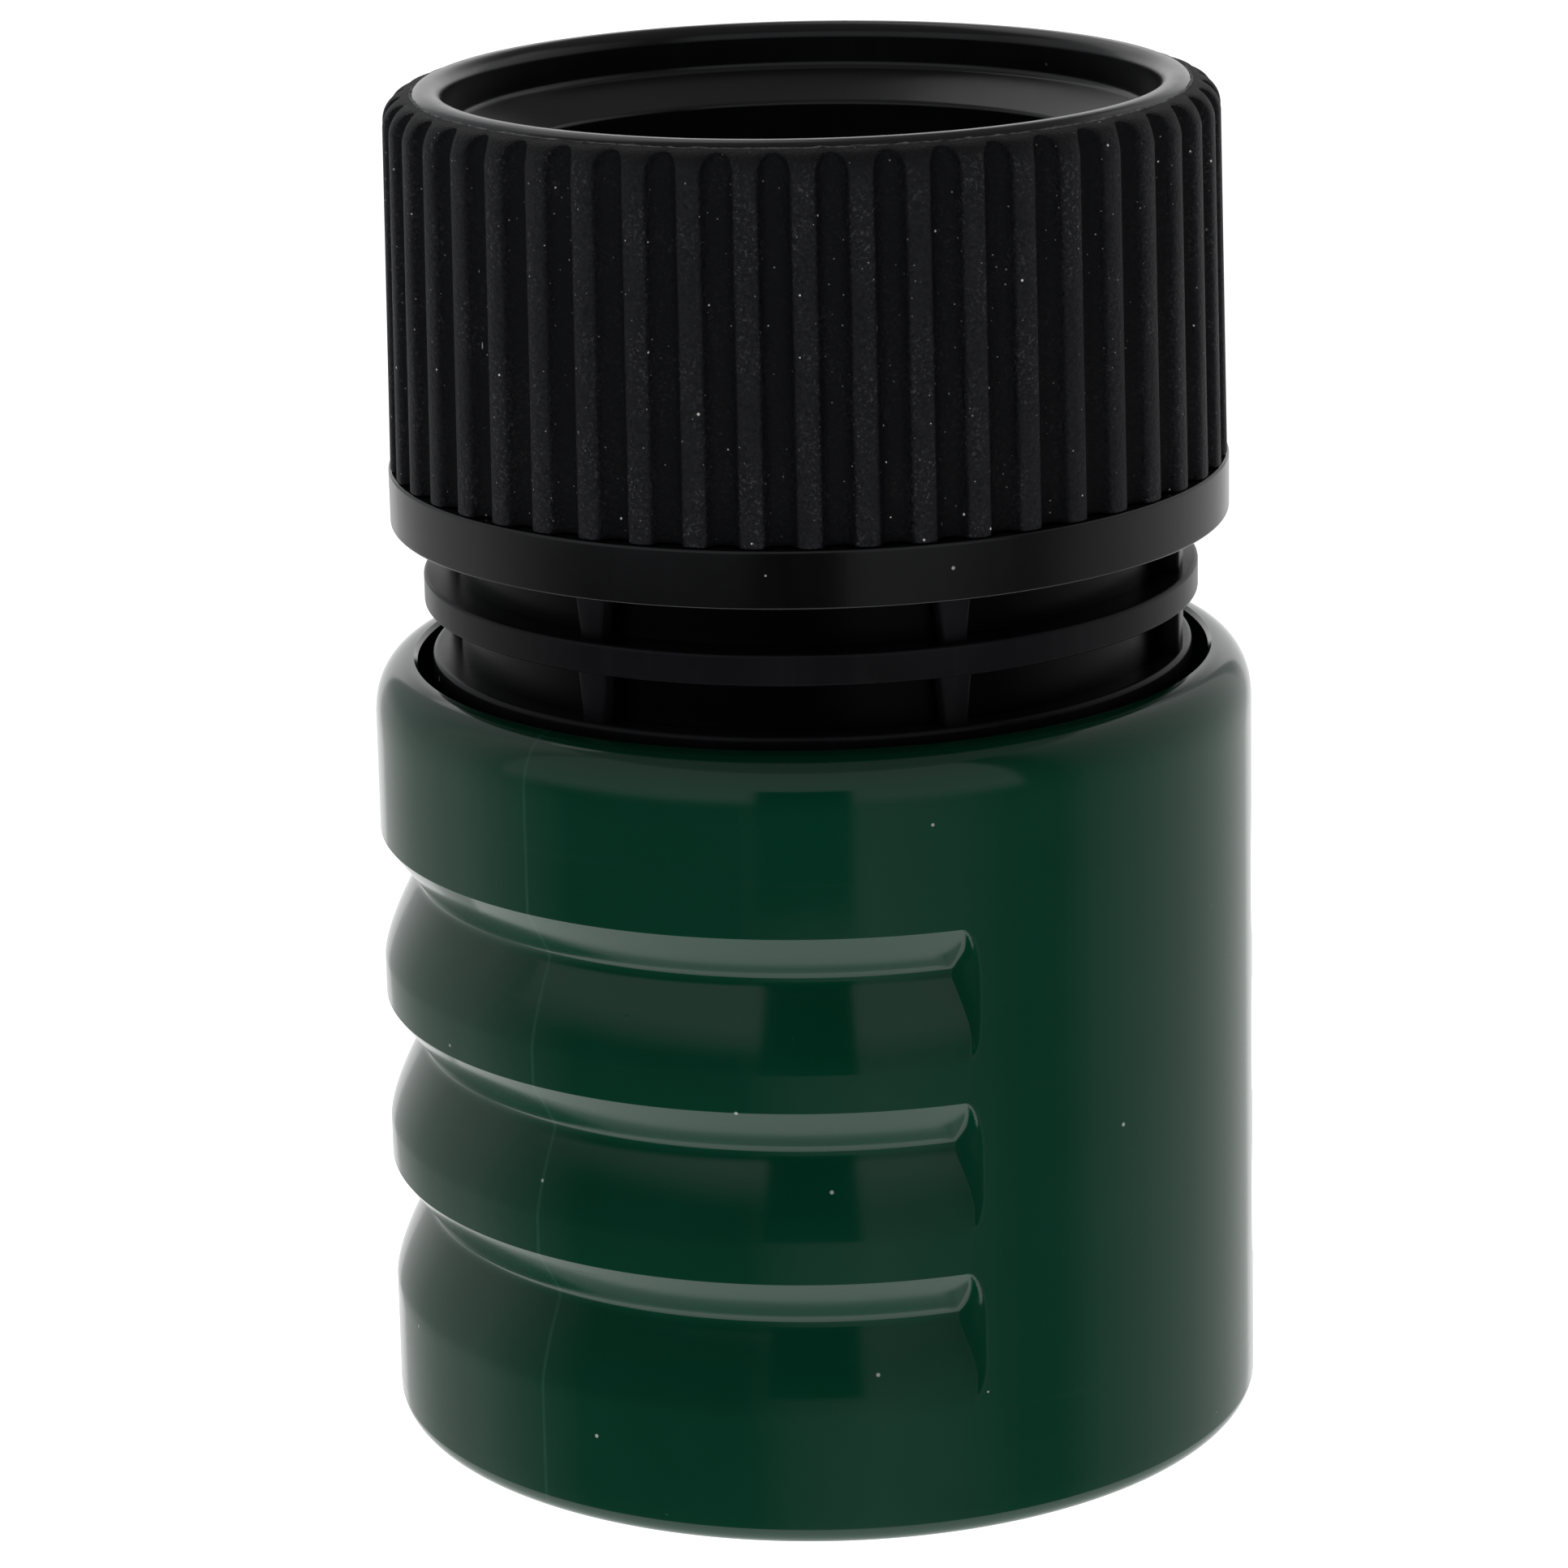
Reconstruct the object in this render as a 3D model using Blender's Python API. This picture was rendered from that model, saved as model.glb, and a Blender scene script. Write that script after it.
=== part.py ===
"""Female garden-hose quick connector with a water stop.

The socket end stands on z = 0 and the hose enters from above, along +Z.
Radii and heights are metres, and every round piece is turned about the Z axis.
"""

from math import atan2, cos, hypot, pi, radians, sin, sqrt, tau

import bmesh
import bpy
from mathutils import Matrix, Vector

MM = 0.001
GAP = 0.3 * MM                        # air between touching pieces

# Release collar (green sleeve)
COLLAR_RADIUS_BOTTOM = 18.0 * MM
COLLAR_RADIUS_TOP = 17.8 * MM
COLLAR_HEIGHT = 32.0 * MM
COLLAR_CREST_RADIUS = 16.2 * MM
COLLAR_SHOULDER = 2.1 * MM            # height of the rounded top edge
COLLAR_FOOT = 0.8 * MM                # rounding of the bottom edge
COLLAR_BORE = 15.5 * MM
COLLAR_MOUTH_BORE = 16.05 * MM
COLLAR_MOUTH_DEPTH = 5.6 * MM
GROOVE_HEIGHTS = (22.6 * MM, 15.6 * MM, 8.6 * MM)
GROOVE_HALF_WIDTH = 2.4 * MM
GROOVE_DEPTH = 1.4 * MM
GROOVE_FLOOR = -0.15                  # place of the deepest line across the groove, in half widths
GROOVE_ARC_SINE = 0.9                 # share of its circle that the groove's upper arc uses
SMOOTH_CENTRE = radians(-39.0)        # middle of the one panel that the grooves leave smooth
SMOOTH_HALF_ANGLE = radians(31.0)
GROOVE_END_ANGLE = radians(3.1)       # turn in which a groove's end wall rises
COLLAR_STEPS = 60

# Locking cone inside the collar, and the four claws that it closes
CONE_TOP = 7.4 * MM
CONE_TOP_RADIUS = 12.85 * MM
CONE_SLOPE = 0.3                      # radius gained per unit of height lost
SPRING_LEDGE = 8.6 * MM
CLAW_COUNT = 4
CLAW_BOTTOM = 2.6 * MM
CLAW_HALF_WIDTH = 3.6 * MM
CLAW_HOOK_RADIUS = 9.8 * MM
CLAW_FRONT = 11.1 * MM                # radius of the claw's front above its hook

# Socket tube
TUBE_RADIUS = 12.3 * MM
SOCKET_BORE = 11.0 * MM
SOCKET_DEPTH = 14.0 * MM
NOSE_BORE = 8.9 * MM
SEAT_TOP = 25.6 * MM
SEAT_BORE = 6.6 * MM
SEAT_THICKNESS = 1.4 * MM
TUBE_BOTTOM = 2.3 * MM
TUBE_TOP = 33.7 * MM
TUBE_UPPER_BORE = 11.0 * MM

# Ring on the socket's end
END_RING_RADIUS = 13.6 * MM
END_RING_BORE = 11.2 * MM
END_RING_BOTTOM = 0.7 * MM
END_RING_TOP = 2.0 * MM

# Neck
FLANGE_RADIUS = 15.4 * MM
FLANGE_BOTTOM = 30.9 * MM
FLANGE_TOP = 32.3 * MM
CORE_RADIUS = 14.2 * MM
RING_RADIUS = 15.65 * MM
RING_BOTTOM = 34.35 * MM
RING_TOP = 35.6 * MM
GUSSET_MIDDLES = (radians(-69.0), radians(111.0))
GUSSET_SPREAD = radians(55.0)         # turn from a group's middle gusset to its outer two
GUSSET_RADIUS = 15.2 * MM
GUSSET_TOP_WIDTH = 1.35 * MM
GUSSET_BOTTOM_WIDTH = 0.95 * MM
CORE_TOP = 38.3 * MM
NECK_TOP = 44.0 * MM
TUBE_RECESS = 12.6 * MM
RECESS_TOP = 35.2 * MM
CHAMBER_BORE = 11.2 * MM
CHAMBER_TOP = 40.0 * MM
WEB_TOP = 41.3 * MM
WEB_BORE = 7.5 * MM

# Clamping thread between neck and nut
THREAD_PITCH = 3.0 * MM
THREAD_DEPTH = 0.7 * MM
THREAD_ROOT = 13.3 * MM
THREAD_CLEARANCE = 0.35 * MM
THREAD_ROW = 0.55 * MM                # height between the rings of points that carry the thread

# Clamp nut
NUT_BOTTOM = 37.65 * MM
BAND_TOP = 39.9 * MM
BAND_RADIUS = 16.9 * MM
NUT_TOP = 55.0 * MM
MOUTH_RADIUS = 14.2 * MM
MOUTH_FLOOR = 53.3 * MM
HOSE_HOLE = 12.3 * MM
HOSE_HOLE_TOP = 52.1 * MM
HOSE_HOLE_BOTTOM = 50.6 * MM
SHELL_RADIUS = 15.3 * MM
NUT_ENTRY = 14.9 * MM                 # plain bore below the nut's thread
NUT_THREAD_BOTTOM = 39.0 * MM
NUT_THREAD_TOP = 45.0 * MM
GRIP_BORE = 15.6 * MM
GRIP_RADIUS_BOTTOM = 16.85 * MM
GRIP_RADIUS_TOP = 16.6 * MM
GRIP_CROWN = 1.2 * MM                 # height of the grip's rounded top edge
FLUTE_COUNT = 48
FLUTE_DEPTH = 0.55 * MM
FLUTE_COLUMNS = (0.0, 0.46, 0.73)     # ridge's two edges and the flute's floor, in flutes

# Hose tail
TAIL_RADIUS = 7.2 * MM
TAIL_BORE = 5.8 * MM
TAIL_TOP = 49.5 * MM
TAIL_BASE_RADIUS = 10.9 * MM
TAIL_BASE_BOTTOM = 42.7 * MM
TAIL_BASE_TOP = 43.9 * MM
STOP_RADII = (8.3 * MM, 10.4 * MM)    # raised land that the hose's cut end rests on
STOP_HEIGHT = 0.2 * MM
BARB_RADIUS = 8.0 * MM
BARB_COUNT = 2
BARB_FIRST = 45.3 * MM
BARB_SPACING = 1.9 * MM
BARB_SLOPE = 1.6 * MM

# Clamping collet
FINGER_COUNT = 8
FINGER_SLOT = 1.2 * MM
COLLET_BOTTOM = 44.3 * MM
COLLET_TOP = 49.9 * MM
COLLET_FOOT = 1.3 * MM
COLLET_RADIUS = 13.2 * MM
COLLET_BORE = 11.0 * MM
COLLET_TIP_RADIUS = 11.9 * MM
COLLET_TIP_BORE = 10.6 * MM

# Valve
POPPET_RADIUS = 7.9 * MM
POPPET_BOTTOM = 26.7 * MM
POPPET_TOP = 28.2 * MM
STEM_RADIUS = 1.6 * MM
STEM_TOP = 41.0 * MM
LEG_RADIUS = 0.9 * MM
LEG_CIRCLE = 5.1 * MM
LEG_BOTTOM = 20.5 * MM
GUIDE_RADIUS = 10.8 * MM
GUIDE_BORE = 9.8 * MM
GUIDE_TOP = 39.7 * MM
GUIDE_WEB = 37.2 * MM                 # bottom of the web and its hub
GUIDE_ARM_WIDTH = 1.4 * MM
HUB_RADIUS = 3.4 * MM
HUB_BORE = 2.0 * MM

# Turning steps of large and small round pieces
LARGE_STEPS = 36
SMALL_STEPS = 24
LEG_STEPS = 10


def material(name, colour, roughness, metallic=0.0):
    """Principled material with one colour, roughness and metallic value."""
    made = bpy.data.materials.new(name)
    made.use_nodes = True
    shader = made.node_tree.nodes["Principled BSDF"]
    shader.inputs["Base Color"].default_value = (*colour, 1.0)
    shader.inputs["Roughness"].default_value = roughness
    shader.inputs["Metallic"].default_value = metallic
    return made


def finished(name, mesh, look):
    """Close a bmesh into a named object with its material."""
    bmesh.ops.recalc_face_normals(mesh, faces=mesh.faces)
    data = bpy.data.meshes.new(name)
    mesh.to_mesh(data)
    mesh.free()
    data.shade_smooth()
    data.set_sharp_from_angle(angle=radians(40.0))
    data.materials.append(look)
    made = bpy.data.objects.new(name, data)
    bpy.context.collection.objects.link(made)
    return made


def spun(outline, steps, shape=None):
    """Bmesh of an outline of (radius, height) points spun about Z.

    An outline that starts and ends on the axis is left open; any other is a closed loop.
    shape, if given, moves each vertex after the spin.
    """
    mesh = bmesh.new()
    rim = [mesh.verts.new((radius, 0.0, height)) for radius, height in outline]
    pairs = list(zip(rim, rim[1:]))
    if outline[0][0] > 0.0:
        pairs.append((rim[-1], rim[0]))
    edges = [mesh.edges.new(pair) for pair in pairs]
    bmesh.ops.spin(mesh, geom=rim + edges, cent=(0, 0, 0), axis=(0, 0, 1),
                   angle=tau, steps=steps, use_merge=True)
    bmesh.ops.remove_doubles(mesh, verts=mesh.verts, dist=1e-6)
    if shape:
        for vertex in mesh.verts:
            vertex.co = shape(vertex.co)
    return mesh


def turned(name, outline, look, steps=LARGE_STEPS, shape=None):
    """Object turned about Z from an outline."""
    return finished(name, spun(outline, steps, shape), look)


def block(name, size, place, turn=0.0, taper=1.0):
    """Box of a size in its own frame, turned about Z; taper narrows the bottom in Y."""
    mesh = bmesh.new()
    bmesh.ops.create_cube(mesh, size=1.0)
    for vertex in mesh.verts:
        width = size[1] * (taper if vertex.co.z < 0 else 1.0)
        vertex.co = Vector((vertex.co.x * size[0], vertex.co.y * width, vertex.co.z * size[2]))
    bmesh.ops.translate(mesh, vec=place, verts=mesh.verts)
    bmesh.ops.rotate(mesh, cent=(0, 0, 0), matrix=Matrix.Rotation(turn, 3, "Z"), verts=mesh.verts)
    return finished(name, mesh, BLACK)


def combine(target, tools, operation):
    """Apply Boolean modifiers to target and remove the tool objects."""
    for tool in tools:
        boolean = target.modifiers.new(tool.name, "BOOLEAN")
        boolean.operation = operation
        boolean.object = tool
    evaluated = target.evaluated_get(bpy.context.evaluated_depsgraph_get())
    result = bpy.data.meshes.new_from_object(evaluated)
    target.modifiers.clear()
    target.data = result
    for tool in tools:
        bpy.data.objects.remove(tool)


def radial(point, change):
    """Move a point along its own radius by change."""
    radius = hypot(point.x, point.y)
    scale = (radius + change) / radius
    return Vector((point.x * scale, point.y * scale, point.z))


def angle_from(angle, centre):
    """Signed angle from centre to angle, in the range -pi to pi."""
    return (angle - centre + pi) % tau - pi


def groove_share(across):
    """Depth of a finger groove, 0 to 1, at a place across it from -1 to 1.

    Above its deepest line the groove is an arc that starts at a sharp edge; below it runs out softly.
    """
    if across < GROOVE_FLOOR:
        return 0.5 - 0.5 * cos(pi * (across + 1.0) / (1.0 + GROOVE_FLOOR))
    rise = (across - GROOVE_FLOOR) / (1.0 - GROOVE_FLOOR)
    edge = sqrt(1.0 - GROOVE_ARC_SINE ** 2)
    return (sqrt(1.0 - (rise * GROOVE_ARC_SINE) ** 2) - edge) / (1.0 - edge)


def groove_change(point):
    """Radial change that sinks the finger grooves into the collar's outer wall."""
    if hypot(point.x, point.y) < COLLAR_RADIUS_TOP - 0.1 * MM:
        return 0.0
    inside = abs(angle_from(atan2(point.y, point.x), SMOOTH_CENTRE)) - SMOOTH_HALF_ANGLE
    depth = GROOVE_DEPTH * min(max(inside / GROOVE_END_ANGLE, 0.0), 1.0)
    for height in GROOVE_HEIGHTS:
        across = (point.z - height) / GROOVE_HALF_WIDTH
        if abs(across) < 1.0:
            return -depth * groove_share(across)
    return 0.0


def at_groove_end(point):
    """Turn a point onto the top or the foot of a groove's end wall when its column is next to one."""
    step = tau / COLLAR_STEPS
    offset = angle_from(atan2(point.y, point.x), SMOOTH_CENTRE)
    inside = abs(offset) - SMOOTH_HALF_ANGLE
    for end, reach in ((0.0, (-0.5, 0.5)), (GROOVE_END_ANGLE, (0.5, 1.5))):
        if reach[0] * step < inside <= reach[1] * step:
            side = 1.0 if offset > 0.0 else -1.0
            return Matrix.Rotation(side * (end - inside), 3, "Z") @ point
    return point


def collar_wall(height):
    """Outer radius of the collar's drafted wall."""
    share = height / COLLAR_HEIGHT
    return COLLAR_RADIUS_BOTTOM + (COLLAR_RADIUS_TOP - COLLAR_RADIUS_BOTTOM) * share


def slide_collar():
    """Green sleeve: finger grooves outside; spring ledge, locking cone and bore inside."""
    outer = []
    for step in range(4):
        turn = step / 3 * pi / 2
        outer.append((COLLAR_RADIUS_BOTTOM - COLLAR_FOOT * (1 - sin(turn)),
                      COLLAR_FOOT * (1 - cos(turn))))
    for height in reversed(GROOVE_HEIGHTS):
        for across in (-1.0, -0.6, GROOVE_FLOOR, 0.4, 1.0):
            place = height + across * GROOVE_HALF_WIDTH
            outer.append((collar_wall(place), place))
    shoulder_width = COLLAR_RADIUS_TOP - COLLAR_CREST_RADIUS
    for step in range(5):
        turn = step / 4 * pi / 2
        outer.append((COLLAR_CREST_RADIUS + shoulder_width * cos(turn),
                      COLLAR_HEIGHT - COLLAR_SHOULDER * (1 - sin(turn))))
    foot_radius = CONE_TOP_RADIUS + CONE_SLOPE * CONE_TOP
    inner = [(COLLAR_MOUTH_BORE, COLLAR_HEIGHT - 0.4 * MM),
             (COLLAR_MOUTH_BORE, COLLAR_HEIGHT - COLLAR_MOUTH_DEPTH),
             (COLLAR_BORE, COLLAR_HEIGHT - COLLAR_MOUTH_DEPTH - 0.5 * MM),
             (COLLAR_BORE, SPRING_LEDGE), (CONE_TOP_RADIUS, SPRING_LEDGE),
             (CONE_TOP_RADIUS, CONE_TOP), (foot_radius, 0.0)]

    def grooved(point):
        snapped = at_groove_end(point)
        return radial(snapped, groove_change(snapped))

    return turned("slide_collar", outer + inner, GREEN, COLLAR_STEPS, grooved)


def thread_share(point, bottom, top):
    """Height of the right-hand thread at a point, 0 to 1, run out at both ends."""
    phase = tau * (point.z / THREAD_PITCH) - atan2(point.y, point.x)
    runout = min((point.z - bottom) / MM, (top - point.z) / MM, 1.0)
    return max(runout, 0.0) * (0.5 + 0.5 * cos(phase))


def rows(bottom, top, spacing):
    """Evenly spaced heights from bottom to top, both included."""
    count = max(1, round((top - bottom) / spacing))
    return [bottom + (top - bottom) * step / count for step in range(count + 1)]


def neck_body():
    """Moulded neck: spring flange, stop ring, gussets, clamping thread and valve chamber."""
    thread = [(THREAD_ROOT, height) for height in rows(CORE_TOP, NECK_TOP - 0.4 * MM, THREAD_ROW)]
    outline = [(TUBE_RECESS, FLANGE_BOTTOM), (FLANGE_RADIUS, FLANGE_BOTTOM),
               (FLANGE_RADIUS, FLANGE_TOP - 0.2 * MM), (FLANGE_RADIUS - 0.2 * MM, FLANGE_TOP),
               (CORE_RADIUS, FLANGE_TOP), (CORE_RADIUS, RING_BOTTOM), (RING_RADIUS, RING_BOTTOM),
               (RING_RADIUS, RING_TOP), (CORE_RADIUS, RING_TOP), (CORE_RADIUS, CORE_TOP)]
    outline += thread
    outline += [(THREAD_ROOT - 0.4 * MM, NECK_TOP), (CHAMBER_BORE, NECK_TOP), (CHAMBER_BORE, WEB_TOP),
                (WEB_BORE, WEB_TOP), (WEB_BORE, CHAMBER_TOP), (CHAMBER_BORE, CHAMBER_TOP),
                (CHAMBER_BORE, RECESS_TOP), (TUBE_RECESS, RECESS_TOP)]

    def threaded(point):
        outside = abs(hypot(point.x, point.y) - THREAD_ROOT) < 0.1 * MM
        share = thread_share(point, CORE_TOP, NECK_TOP) if outside and point.z > CORE_TOP else 0.0
        return radial(point, THREAD_DEPTH * share)

    neck = turned("neck_body", outline, BLACK, shape=threaded)
    gussets = []
    for level, (bottom, top) in enumerate(((FLANGE_TOP, RING_BOTTOM), (RING_TOP, NUT_BOTTOM - GAP))):
        overlap = 0.15 * MM
        reach = overlap if level == 0 else 0.0
        height = top - bottom + overlap + reach
        size = (GUSSET_RADIUS - CORE_RADIUS + 0.5 * MM, GUSSET_TOP_WIDTH, height)
        place = (GUSSET_RADIUS - size[0] / 2, 0.0, (bottom - overlap + top + reach) / 2)
        turns = [middle + side * GUSSET_SPREAD for middle in GUSSET_MIDDLES for side in (-1, 0, 1)]
        for index, turn in enumerate(turns):
            gussets.append(block(f"gusset_{level}_{index}", size, place, turn,
                                 GUSSET_BOTTOM_WIDTH / GUSSET_TOP_WIDTH))
    combine(neck, gussets, "UNION")
    return neck


def nut_shell():
    """Hard shell of the clamp nut: band, rounded mouth, hose hole, cone and female thread."""
    bore = THREAD_ROOT + THREAD_CLEARANCE
    corner = 0.4 * MM
    lip = (SHELL_RADIUS + MOUTH_RADIUS) / 2
    outline = [(NUT_ENTRY, NUT_BOTTOM), (BAND_RADIUS - corner, NUT_BOTTOM),
               (BAND_RADIUS, NUT_BOTTOM + corner), (BAND_RADIUS, BAND_TOP),
               (SHELL_RADIUS, BAND_TOP), (SHELL_RADIUS, NUT_TOP - corner),
               (lip + corner / 2, NUT_TOP), (lip - corner / 2, NUT_TOP),
               (MOUTH_RADIUS, NUT_TOP - corner), (MOUTH_RADIUS, MOUTH_FLOOR),
               (HOSE_HOLE, HOSE_HOLE_TOP), (HOSE_HOLE, HOSE_HOLE_BOTTOM),
               (bore + corner / 2, NUT_THREAD_TOP + corner)]
    outline += [(bore, height) for height in reversed(rows(NUT_THREAD_BOTTOM, NUT_THREAD_TOP, THREAD_ROW))]
    outline.append((NUT_ENTRY, NUT_THREAD_BOTTOM))

    def threaded(point):
        inside = abs(hypot(point.x, point.y) - bore) < 0.1 * MM
        share = thread_share(point, NUT_THREAD_BOTTOM - MM, NUT_THREAD_TOP) if inside else 0.0
        return radial(point, THREAD_DEPTH * share)

    return turned("nut_shell", outline, BLACK, shape=threaded)


def nut_grip():
    """Soft fluted grip moulded round the nut's shell."""
    bottom = BAND_TOP + GAP
    top = NUT_TOP - 0.25 * MM
    outline = [(GRIP_BORE, bottom), (GRIP_RADIUS_BOTTOM, bottom), (GRIP_RADIUS_TOP, top - GRIP_CROWN),
               (GRIP_RADIUS_TOP - 0.15 * MM, top - GRIP_CROWN / 2), (GRIP_BORE + 0.5 * MM, top),
               (GRIP_BORE, top)]
    columns = len(FLUTE_COLUMNS)

    def fluted(point):
        column = round(atan2(point.y, point.x) / tau * FLUTE_COUNT * columns)
        flute, place = divmod(column, columns)
        turn = (flute + FLUTE_COLUMNS[place]) * tau / FLUTE_COUNT
        radius = hypot(point.x, point.y)
        if place == columns - 1 and radius > GRIP_RADIUS_TOP - 0.01 * MM:
            radius -= FLUTE_DEPTH
        return Vector((radius * cos(turn), radius * sin(turn), point.z))

    return turned("nut_grip", outline, RUBBER, FLUTE_COUNT * columns, fluted)


def hose_collet():
    """Clamping collet: a ring with upright fingers between hose and nut."""
    tooth = 0.6 * MM
    outline = [(COLLET_BORE, COLLET_BOTTOM), (COLLET_RADIUS, COLLET_BOTTOM),
               (COLLET_RADIUS, COLLET_BOTTOM + COLLET_FOOT), (COLLET_TIP_RADIUS, COLLET_TOP),
               (COLLET_TIP_BORE, COLLET_TOP), (COLLET_TIP_BORE, COLLET_TOP - tooth),
               (COLLET_BORE, COLLET_TOP - 2 * tooth)]
    collet = turned("hose_collet", outline, BLACK)
    slot_bottom = COLLET_BOTTOM + COLLET_FOOT + 0.2 * MM
    size = (2.2 * COLLET_RADIUS, FINGER_SLOT, COLLET_TOP - slot_bottom + MM)
    place = (0.0, 0.0, slot_bottom + size[2] / 2)
    slots = [block(f"slot_{index}", size, place, pi * (index + 0.5) / (FINGER_COUNT / 2))
             for index in range(FINGER_COUNT // 2)]
    combine(collet, slots, "DIFFERENCE")
    return collet


def hose_tail():
    """Barbed spigot that the hose is pushed over."""
    stop_bore, stop_radius = STOP_RADII
    outline = [(TAIL_BORE, TAIL_BASE_BOTTOM), (TAIL_BASE_RADIUS, TAIL_BASE_BOTTOM),
               (TAIL_BASE_RADIUS, TAIL_BASE_TOP), (stop_radius, TAIL_BASE_TOP),
               (stop_radius, TAIL_BASE_TOP + STOP_HEIGHT), (stop_bore, TAIL_BASE_TOP + STOP_HEIGHT),
               (stop_bore, TAIL_BASE_TOP), (TAIL_RADIUS, TAIL_BASE_TOP)]
    for barb in range(BARB_COUNT):
        foot = BARB_FIRST + barb * BARB_SPACING
        outline += [(TAIL_RADIUS, foot), (BARB_RADIUS, foot + 0.1 * MM), (TAIL_RADIUS, foot + BARB_SLOPE)]
    outline += [(TAIL_RADIUS - 0.3 * MM, TAIL_TOP), (TAIL_BORE, TAIL_TOP)]
    return turned("hose_tail", outline, BLACK, SMALL_STEPS)


def flat_ring(name, inner, outer, bottom, thickness, look):
    """Flat ring with a rounded outer and inner face."""
    middle = bottom + thickness / 2
    bulge = thickness * 0.2
    outline = [(inner, bottom + bulge), (inner + bulge, bottom), (outer - bulge, bottom),
               (outer, middle - bulge), (outer, middle + bulge), (outer - bulge, bottom + thickness),
               (inner + bulge, bottom + thickness)]
    return turned(name, outline, look, SMALL_STEPS)


def valve_guide():
    """Ring in the neck with a three-arm web whose hub guides the poppet's stem."""
    outline = [(GUIDE_BORE, RECESS_TOP), (GUIDE_RADIUS, RECESS_TOP), (GUIDE_RADIUS, GUIDE_TOP),
               (GUIDE_BORE, GUIDE_TOP)]
    guide = turned("valve_guide", outline, WHITE, SMALL_STEPS)
    hub_outline = [(HUB_BORE, GUIDE_WEB), (HUB_RADIUS, GUIDE_WEB), (HUB_RADIUS, GUIDE_TOP),
                   (HUB_BORE, GUIDE_TOP)]
    hub = turned("hub", hub_outline, WHITE, SMALL_STEPS)
    sunk = 0.3 * MM                       # arms stay this far inside the hub and the ring
    arm_start = HUB_RADIUS - 0.5 * MM
    arm_end = GUIDE_BORE + 0.5 * MM
    size = (arm_end - arm_start, GUIDE_ARM_WIDTH, GUIDE_TOP - GUIDE_WEB - 2 * sunk)
    place = ((arm_start + arm_end) / 2, 0.0, (GUIDE_TOP + GUIDE_WEB) / 2)
    arms = [block(f"arm_{index}", size, place, tau * index / 3) for index in range(3)]
    combine(guide, arms + [hub], "UNION")
    return guide


def valve_poppet():
    """Water-stop poppet: disc, guide stem and three legs that the plug pushes."""
    tip = 0.5 * MM
    outline = [(0.0, POPPET_BOTTOM), (POPPET_RADIUS, POPPET_BOTTOM),
               (POPPET_RADIUS, (POPPET_BOTTOM + POPPET_TOP) / 2), (2 * STEM_RADIUS, POPPET_TOP),
               (STEM_RADIUS, POPPET_TOP), (STEM_RADIUS, STEM_TOP - tip), (STEM_RADIUS - tip, STEM_TOP),
               (0.0, STEM_TOP)]
    poppet = turned("valve_poppet", outline, WHITE, SMALL_STEPS)
    legs = []
    for index in range(3):
        turn = tau * index / 3
        leg_top = POPPET_BOTTOM + 0.3 * MM
        leg_outline = [(0.0, LEG_BOTTOM), (LEG_RADIUS, LEG_BOTTOM), (LEG_RADIUS, leg_top), (0.0, leg_top)]
        leg = turned(f"leg_{index}", leg_outline, WHITE, LEG_STEPS)
        leg.data.transform(Matrix.Translation((LEG_CIRCLE * cos(turn), LEG_CIRCLE * sin(turn), 0.0)))
        legs.append(leg)
    combine(poppet, legs, "UNION")
    return poppet


def socket_tube():
    """Socket for the plug, with claw slots at the bottom and the valve seat at the top."""
    outline = [(SOCKET_BORE, TUBE_BOTTOM), (TUBE_RADIUS, TUBE_BOTTOM), (TUBE_RADIUS, TUBE_TOP),
               (TUBE_UPPER_BORE, TUBE_TOP), (TUBE_UPPER_BORE, SEAT_TOP), (SEAT_BORE, SEAT_TOP),
               (SEAT_BORE, SEAT_TOP - SEAT_THICKNESS), (NOSE_BORE, SEAT_TOP - SEAT_THICKNESS - 0.2 * MM),
               (NOSE_BORE, SOCKET_DEPTH + 0.8 * MM), (SOCKET_BORE, SOCKET_DEPTH)]
    tube = turned("socket_tube", outline, BLACK)
    slot_top = CONE_TOP + GAP
    slot_width = 2 * (CLAW_HALF_WIDTH + GAP)
    size = (2.2 * TUBE_RADIUS, slot_width, slot_top - TUBE_BOTTOM + MM)
    place = (0.0, 0.0, slot_top - size[2] / 2)
    slots = [block(f"slot_{index}", size, place, pi / 4 + pi * index / 2)
             for index in range(CLAW_COUNT // 2)]
    combine(tube, slots, "DIFFERENCE")
    return tube


def end_ring():
    """Ring clipped to the socket's end, which holds the claws in and guides the plug."""
    corner = 0.4 * MM
    lead_in = 0.8 * MM
    outline = [(END_RING_BORE + lead_in, END_RING_BOTTOM), (END_RING_RADIUS - corner, END_RING_BOTTOM),
               (END_RING_RADIUS, END_RING_BOTTOM + corner), (END_RING_RADIUS, END_RING_TOP),
               (END_RING_BORE, END_RING_TOP), (END_RING_BORE, END_RING_BOTTOM + lead_in)]
    return turned("end_ring", outline, BLACK)


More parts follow.
